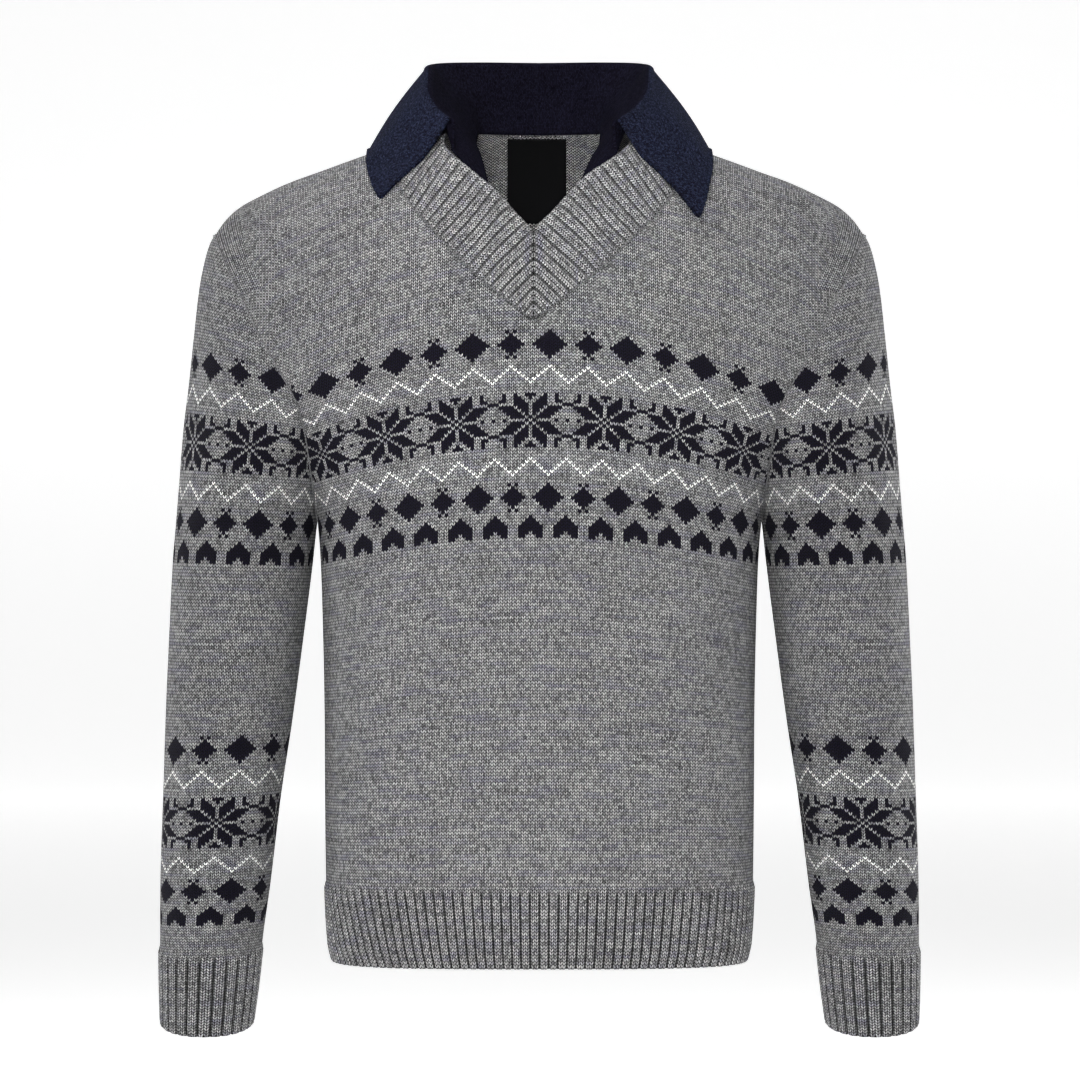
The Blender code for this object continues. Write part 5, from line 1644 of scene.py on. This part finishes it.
@dataclass
class Collar:
    """The turn-down collar: a stand inside the neck and a fall over the shoulders, in one strip."""

    body: BodyForm
    neck: NeckForm
    roll_radius: float = 0.0042
    bulge: float = 0.003
    clearance: float = 0.0042
    gauge: float = 0.0013
    tip_share: float = 0.014        # how much shorter the leaf's last row is, where its corner is rounded
    tip_start: float = 0.93         # where on the fall the corner starts
    drawn_start: float = 0.7        # where on the length a leaf is drawn out, flattened and leaned over
    flat_start: float = 0.8
    lean_start: float = 0.5
    # How far the tip of the leaf on the wearer's left is drawn out, at the seat, middle, roll and edge.
    longer_leaf: Table = Table(
        ("part", "x", "y", "z"),
        ((0.0, -0.0058, -0.004, -0.01), (1.0, -0.003, -0.001, -0.002),
         (2.0, -0.0044, -0.001, -0.001), (3.0, 0.0, -0.0088, -0.017)))
    sections: Table = Table(
        ("share", "seat_x", "seat_y", "seat_z", "middle_x", "middle_y", "middle_z",
         "roll_x", "roll_y", "roll_z", "edge_x", "edge_y", "edge_z"),
        ((0.0, 0.0, 0.058, 0.0027, 0.0, 0.06, 0.031, 0.0, 0.062, 0.0598, 0.0, 0.079, -0.0165),
         (0.25, 0.0282, 0.0511, 0.0028, 0.03, 0.0545, 0.031, 0.032, 0.0565, 0.0596, 0.05, 0.0735, -0.019),
         (0.5, 0.047, 0.0348, 0.002, 0.052, 0.039, 0.029, 0.064, 0.042, 0.058, 0.1, 0.05, -0.0215),
         (0.7, 0.0472, 0.005, -0.008, 0.062, 0.011, 0.021, 0.085, 0.013, 0.0525, 0.1325, 0.008, -0.015),
         (0.85, 0.042, -0.035, -0.022, 0.064, -0.025, 0.003, 0.085, -0.017, 0.033, 0.1325, -0.033, -0.0255),
         (0.94, 0.0382, -0.059, -0.035, 0.063, -0.041, -0.012,
          0.0775, -0.035, 0.0165, 0.1276, -0.0568, -0.0503),
         (1.0, 0.0344, -0.0765, -0.0485, 0.0625, -0.0485, -0.019,
          0.0655, -0.0475, 0.006, 0.121, -0.069, -0.0635)))

    def point(self, name: str, share: float) -> Array:
        """A named point of the section at a share of the collar's length."""
        return np.array([float(self.sections.at(f"{name}_{axis}", share)) for axis in "xyz"])

    def section(self, share: float, stand: Array, bend: Array, fall: Array) -> Array:
        """The collar's section, from the stand's foot over the roll to the fall's edge.

        Args:
            share: Share of the length from the centre back, below zero on the wearer's right.
            stand: Places up the stand, from 0 to 1 at its middle and on to 1.55.
            bend: Turns over the roll.
            fall: Places down the fall, from 0 to 1.

        Returns:
            The section's points.
        """
        at = min(abs(share), 1.0)
        drawn = self.past(share, self.drawn_start) ** 2
        seat, middle, roll, edge = (
            self.point(name, at) + drawn * np.array(self.longer_leaf.rows[k][1:])
            for k, name in enumerate(("seat", "middle", "roll", "edge")))
        out = np.array([edge[0] - middle[0], edge[1] - middle[1], 0.0])
        out /= np.linalg.norm(out)
        centre = roll - np.array([0.0, 0.0, self.roll_radius])
        ring = (centre - out * (np.cos(bend) * self.roll_radius)[:, None]
                + np.array([0.0, 0.0, 1.0]) * (np.sin(bend) * self.roll_radius)[:, None])
        up = np.where((stand <= 1)[:, None], seat + (middle - seat) * stand[:, None],
                      middle + (ring[0] - middle) * (stand - 1)[:, None])
        bulge = self.bulge * (1 - 2.2 * self.past(at, self.flat_start) ** 2)
        down = (ring[-1] + (edge - ring[-1]) * fall[:, None]
                + out * (bulge * np.sin(math.pi * fall))[:, None])
        down = self.clear(down)
        line = np.vstack((up, ring, down))
        leaning = self.neck.lean(line[:, 0]) * self.past(at, self.lean_start)
        across = np.copysign(1.0, share) * line[:, 0] + leaning
        return np.stack([across, line[:, 1], line[:, 2]], axis=-1)

    def clear(self, points: Array) -> Array:
        """Lifts points of the fall until the cloth under them clears the shoulders and the ribs."""
        step = 0.001
        height = self.body.shoulder_height(points[:, 0], points[:, 1])
        aside = self.body.shoulder_height(points[:, 0] + step, points[:, 1]) - height
        ahead = self.body.shoulder_height(points[:, 0], points[:, 1] - step) - height
        steep = np.sqrt(1 + (aside / step) ** 2 + (ahead / step) ** 2)
        points[:, 2] = np.maximum(points[:, 2], height + self.clearance * steep)
        return points

    @staticmethod
    def past(share: float, start: float) -> float:
        """How far a share is past a start: 0 up to it, and 1 at the end."""
        return max(0.0, (share - start) / (1 - start))

    def reach(self, fall: float) -> float:
        """The share of the length where a row of the fall ends, with the leaf's corner rounded."""
        over = self.past(fall, self.tip_start)
        return 1 - self.tip_share * (1 - math.sqrt(max(0.0, 1 - over * over)))

    def build(self, wardrobe: Wardrobe) -> Object:
        """Makes the collar's mesh and gives it its two finishes."""
        stand = np.linspace(0.0, 1.55, 20)
        bend = np.linspace(0.0, math.pi, 11)
        fall = np.concatenate((np.linspace(0.05, 0.84, 20), np.linspace(0.86, 1.0, 12)))
        count = len(stand) + len(bend) + len(fall)
        rows = [1.0] * (len(stand) + len(bend)) + [self.reach(place) for place in fall]
        unit, knots = np.linspace(-1.0, 1.0, 221), np.linspace(-1.0, 1.0, 441)
        table = np.stack([self.section(share, stand, bend, fall) for share in knots])
        skin, lines = Skin(), []
        around = lengths_along(table[:, len(stand) // 2]) / self.gauge
        down = lengths_along(table) / self.gauge
        for k in range(count):
            at = unit * rows[k]
            points = np.stack([np.interp(at, knots, table[:, k, axis]) for axis in range(3)], axis=-1)
            stitch = np.stack([np.interp(at, knots, line) for line in (around, down[:, k])], axis=-1)
            lines.append(skin.add(Line(points, unit, stitch)))
        skin.weave_all(lines)
        obj = skin.build("collar_knit")
        obj.data.materials.append(wardrobe.stand)
        obj.data.materials.append(wardrobe.fall)
        brushed = np.arange(count - 1) >= len(stand) + len(bend) // 2
        obj.data.polygons.foreach_set("material_index", np.repeat(brushed, len(unit) - 1).astype(np.int32))
        thicken(obj, WALL)
        return obj


# ---------------- label

@dataclass
class Label:
    """The blank woven label inside the back neck."""

    body: BodyForm
    centre: float = -0.0021
    width: float = 0.0472
    top: float = 0.0014
    height: float = 0.0652
    gap: float = 0.0011             # between the back and the label's own back
    thickness: float = 0.0007
    thread: float = 0.00035
    ripple: float = 0.0003

    def grid(self, across: Array, level: Array) -> Array:
        """Points of the label's face, in front of the back's inner face."""
        x, z = np.meshgrid(across, level)
        step = 0.0005
        at = self.body.point(x, self.body.climb_to(x, z), Side.BACK)
        right = self.body.point(x + step, self.body.climb_to(x + step, z), Side.BACK) - at
        up = self.body.point(x, self.body.climb_to(x, z + step), Side.BACK) - at
        inwards = np.cross(right, up)
        inwards /= np.linalg.norm(inwards, axis=-1, keepdims=True)
        return at + inwards * (WALL + (self.gap + self.thickness))

    def build(self, wardrobe: Wardrobe) -> Object:
        """Makes the label's mesh and gives it its finish."""
        across = self.centre + np.linspace(-0.5, 0.5, 31) * self.width
        level = self.top - self.height * (1 - np.linspace(0.0, 1.0, 41))
        points = self.grid(across, level)
        waves = np.sin((level[:, None] - level[0]) * 90) * np.cos((across[None, :] - self.centre) * 60)
        points[..., 1] += waves * self.ripple
        skin, lines = Skin(), []
        for i, z in enumerate(level):
            stitch = np.stack([across / self.thread, np.full(len(across), z / self.thread)], axis=-1)
            lines.append(skin.add(Line(points[i], across, stitch)))
        skin.weave_all(lines)
        obj = skin.build("label_woven")
        obj.data.materials.append(wardrobe.satin)
        thicken(obj, self.thickness)
        return obj


# ---------------- seams

@dataclass
class Seams:
    """Rows of linking stitches where pieces are joined."""

    body: BodyForm
    neck: NeckForm
    sleeve: SleeveForm

    def neck_paths(self) -> list[Array]:
        """The neckband's outer seam on each side, from the foot of the V to the shoulder."""
        station = np.linspace(self.neck.foot, 0.0, 240)
        line = self.neck.outer(station)
        paths = []
        for hand in Hand:
            across = hand.value * line[:, 0] + self.neck.lean(line[:, 0])
            paths.append(self.body.point(across, line[:, 1], Side.FRONT) + np.array([0.0, -0.0002, 0.0]))
        return paths

    def armhole_paths(self) -> list[Array]:
        """Each armhole seam, up the front and down the back."""
        levels = np.linspace(self.body.underarm, self.body.tip, 200)
        paths = []
        for hand in Hand:
            for side in Side:
                points = self.sleeve.seam_point(levels, side)
                inner = points - np.array([0.0, side.value * 0.0006, 0.0])
                paths.append(inner * np.array([hand.value, 1.0, 1.0]))
        return paths

    def back_neck_path(self) -> list[Array]:
        """The row that links the collar to the back neck, on the inside."""
        place = np.linspace(0.0, 0.93, 60)
        line = self.neck.back_line(place)
        half = self.body.point(line[:, 0], line[:, 1], Side.BACK) + np.array([0.0, -0.0026, -0.0004])
        return [np.vstack([(half * np.array([-1.0, 1.0, 1.0]))[::-1], half[1:]])]

    def build(self, wardrobe: Wardrobe) -> list[Object]:
        """Sews every seam."""
        tight = {"Spacing": 0.0026, "Length": 0.0024, "Thickness": 0.0010, "Slant": 0.4}
        loose = {"Spacing": 0.0025, "Length": 0.0026, "Thickness": 0.0012, "Slant": 0.3}
        rows = (("neck_linking", self.neck_paths(), tight, "grey_rib"),
                ("armhole_linking", self.armhole_paths(), loose, "grey_knit"),
                ("back_neck_linking", self.back_neck_path(), tight, "grey_knit"))
        return [sew(name, paths, wardrobe.stitches, sizes, wardrobe.thread)
                for name, paths, sizes, slot in rows]


# ---------------- the studio

@dataclass
class Studio:
    """A pale floor and backdrop, soft lights and the camera."""

    distance: float = 3.4
    eye_level: float = -0.3142
    across: float = 0.0004
    view_width: float = 0.8316
    floor: float = -0.86
    front: float = -6.5
    back: float = 6.0               # where the floor turns up, with how wide a bend and how high
    bend: float = 0.9
    height: float = 4.0
    half_span: float = 6.0
    surround: float = 0.17

    def sweep(self, paper: Material) -> None:
        """The floor, turned up behind into a backdrop."""
        turn = np.linspace(0.0, math.pi / 2, 13)
        bent = [(self.back + self.bend * math.sin(t), self.floor + self.bend * (1 - math.cos(t)))
                for t in turn]
        profile = [(self.front, self.floor), *bent, (self.back + self.bend, self.height)]
        points = [(x, y, z) for y, z in profile for x in (-self.half_span, self.half_span)]
        faces = [(2 * i, 2 * i + 1, 2 * i + 3, 2 * i + 2) for i in range(len(profile) - 1)]
        mesh = bpy.data.meshes.new("paper_sweep")
        mesh.from_pydata(points, [], faces)
        mesh.shade_smooth()
        mesh.materials.append(paper)
        put_in_scene("paper_sweep", mesh)

    def lamp(self, name: str, place: tuple[float, float, float], aim: tuple[float, float, float],
             size: tuple[float, float], power: float, spread: float = 180.0) -> None:
        """One soft box.

        Args:
            name: Its name.
            place: Where it stands.
            aim: The point that it faces.
            size: Its width and height.
            power: Its power in watts.
            spread: How wide its light spreads, in degrees.
        """
        light = bpy.data.lights.new(name, "AREA")
        light.shape = "RECTANGLE"
        light.size, light.size_y = size
        light.energy = power
        light.spread = math.radians(spread)
        obj = put_in_scene(name, light)
        obj.location = place
        obj.rotation_mode = "QUATERNION"
        obj.rotation_quaternion = (Vector(aim) - Vector(place)).to_track_quat("-Z", "Y")

    def camera(self) -> None:
        """The camera, level in front of the garment."""
        data = bpy.data.cameras.new("camera")
        data.sensor_width = 36.0
        data.lens = data.sensor_width * self.distance / self.view_width
        data.clip_start, data.clip_end = 0.05, 60.0
        obj = put_in_scene("camera", data)
        obj.location = (self.across, -self.distance, self.eye_level)
        obj.rotation_euler = (math.pi / 2, 0.0, 0.0)
        bpy.context.scene.camera = obj

    def world(self) -> None:
        """An even white surround."""
        world = bpy.data.worlds.new("surround")
        world.use_nodes = True
        background = world.node_tree.nodes["Background"]
        background.inputs["Color"].default_value = (1.0, 1.0, 1.0, 1.0)
        background.inputs["Strength"].default_value = self.surround
        bpy.context.scene.world = world

    def build(self) -> None:
        """Sets the studio up."""
        self.sweep(Paper().build())
        self.lamp("strip", (-0.12, -2.3, -0.15), (0.0, 0.0, -0.32), (0.30, 1.3), 1.75, 28.0)
        self.lamp("key", (-1.5, -2.6, 1.0), (0.0, 0.0, -0.3), (1.4, 1.4), 3.4)
        self.lamp("left", (-2.0, -0.3, -0.1), (0.0, 0.0, -0.3), (0.7, 1.6), 6.0)
        self.lamp("right", (2.0, -0.3, -0.1), (0.0, 0.0, -0.3), (0.7, 1.6), 6.3)
        self.lamp("left_rim", (-1.9, 1.0, -0.2), (-0.2, 0.0, -0.35), (0.7, 1.6), 19.0)
        self.lamp("right_rim", (1.9, 1.0, -0.2), (0.2, 0.0, -0.35), (0.7, 1.6), 24.0)
        self.lamp("top", (-0.2, -0.7, 1.7), (0.0, 0.0, -0.1), (1.0, 0.8), 3.0, 60.0)
        self.camera()
        self.world()
        bpy.context.scene.view_settings.view_transform = "Standard"
        bpy.context.scene.view_settings.look = "None"


# ---------------- the pullover

FRONT_CREASES = (
    Crease((0.160, -0.262), (0.140, -0.385), 0.018, 0.0040),
    Crease((0.150, -0.300), (0.118, -0.362), 0.014, 0.0018),
    Crease((0.150, -0.415), (0.120, -0.520), 0.020, 0.0016),
    Crease((0.116, -0.330), (0.096, -0.460), 0.022, -0.0014),
    Crease((0.072, -0.470), (0.084, -0.615), 0.026, 0.0016),
    Crease((-0.161, -0.258), (-0.138, -0.402), 0.019, 0.0036),
    Crease((-0.148, -0.312), (-0.112, -0.356), 0.013, 0.0020),
    Crease((-0.152, -0.440), (-0.126, -0.560), 0.022, 0.0019),
    Crease((-0.108, -0.350), (-0.090, -0.495), 0.024, -0.0012),
    Crease((-0.040, -0.505), (-0.052, -0.630), 0.028, 0.0014),
)
BACK_CREASES = (
    Crease((0.156, -0.268), (0.134, -0.370), 0.018, 0.0034),
    Crease((0.146, -0.325), (0.110, -0.375), 0.014, 0.0018),
    Crease((0.148, -0.440), (0.112, -0.530), 0.020, 0.0016),
    Crease((0.060, -0.480), (0.090, -0.545), 0.024, -0.0016),
    Crease((-0.158, -0.262), (-0.130, -0.388), 0.020, 0.0038),
    Crease((-0.144, -0.330), (-0.116, -0.368), 0.013, 0.0016),
    Crease((-0.150, -0.420), (-0.120, -0.500), 0.018, 0.0019),
    Crease((-0.048, -0.455), (-0.074, -0.560), 0.027, -0.0018),
)


@dataclass
class Pullover:
    """The whole garment."""

    body: BodyForm = field(default_factory=BodyForm)
    wardrobe: Wardrobe = field(default_factory=Wardrobe)

    def build(self) -> None:
        """Builds the pieces in the order they are sewn."""
        neck, sleeve = NeckForm(self.body), SleeveForm(self.body)
        stitches = BodyStitches(self.body)
        front = Panel(Side.FRONT, self.body, neck, stitches, FRONT_CREASES).build(self.wardrobe)
        back = Panel(Side.BACK, self.body, neck, stitches, BACK_CREASES, foot_rows=6).build(self.wardrobe)
        seams = Seams(self.body, neck, sleeve).build(self.wardrobe)
        place_cloth(front, Cloth("front", "grey_knit", (0.52, 0.66), 0.272, "hung",
                                 ("back", "neckband_left")))
        place_cloth(back, Cloth("back", "grey_knit", (0.52, 0.68), 0.290, "hung", ("front",)))
        for hand in Hand:
            arm = Sleeve(hand, sleeve, SleeveStitches(sleeve)).build(self.wardrobe)
            place_cloth(arm, Cloth(f"sleeve_{hand.word}", "grey_knit", (0.38, 0.62), 0.164, "hung",
                                   ("front", "back")))
            band = Neckband(hand, self.body, neck).build(self.wardrobe)
            place_cloth(band, Cloth(f"neckband_{hand.word}", "grey_rib", (0.20, 0.065), 0.0115, "stretched",
                                    ("front",)))
        collar = Collar(self.body, neck).build(self.wardrobe)
        place_cloth(collar, Cloth("collar", "navy_knit", (0.44, 0.145), 0.055, "folded",
                                  ("back", "neckband_left")))
        label = Label(self.body).build(self.wardrobe)
        place_cloth(label, Cloth("label", "black_label", (0.0475, 0.0655), 0.0031, "laid", ("back",)))


def corners(box: tuple[Vector, Vector]) -> list[list[float]]:
    """A box as plain lists of numbers."""
    return [[round(float(x), 6) for x in corner] for corner in box]


def main() -> None:
    """Builds the studio and the pullover."""
    logging.basicConfig(level=logging.INFO, format="%(name)s: %(message)s")
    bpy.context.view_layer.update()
    Studio().build()
    Pullover().build()


if __name__ == "__main__":
    main()
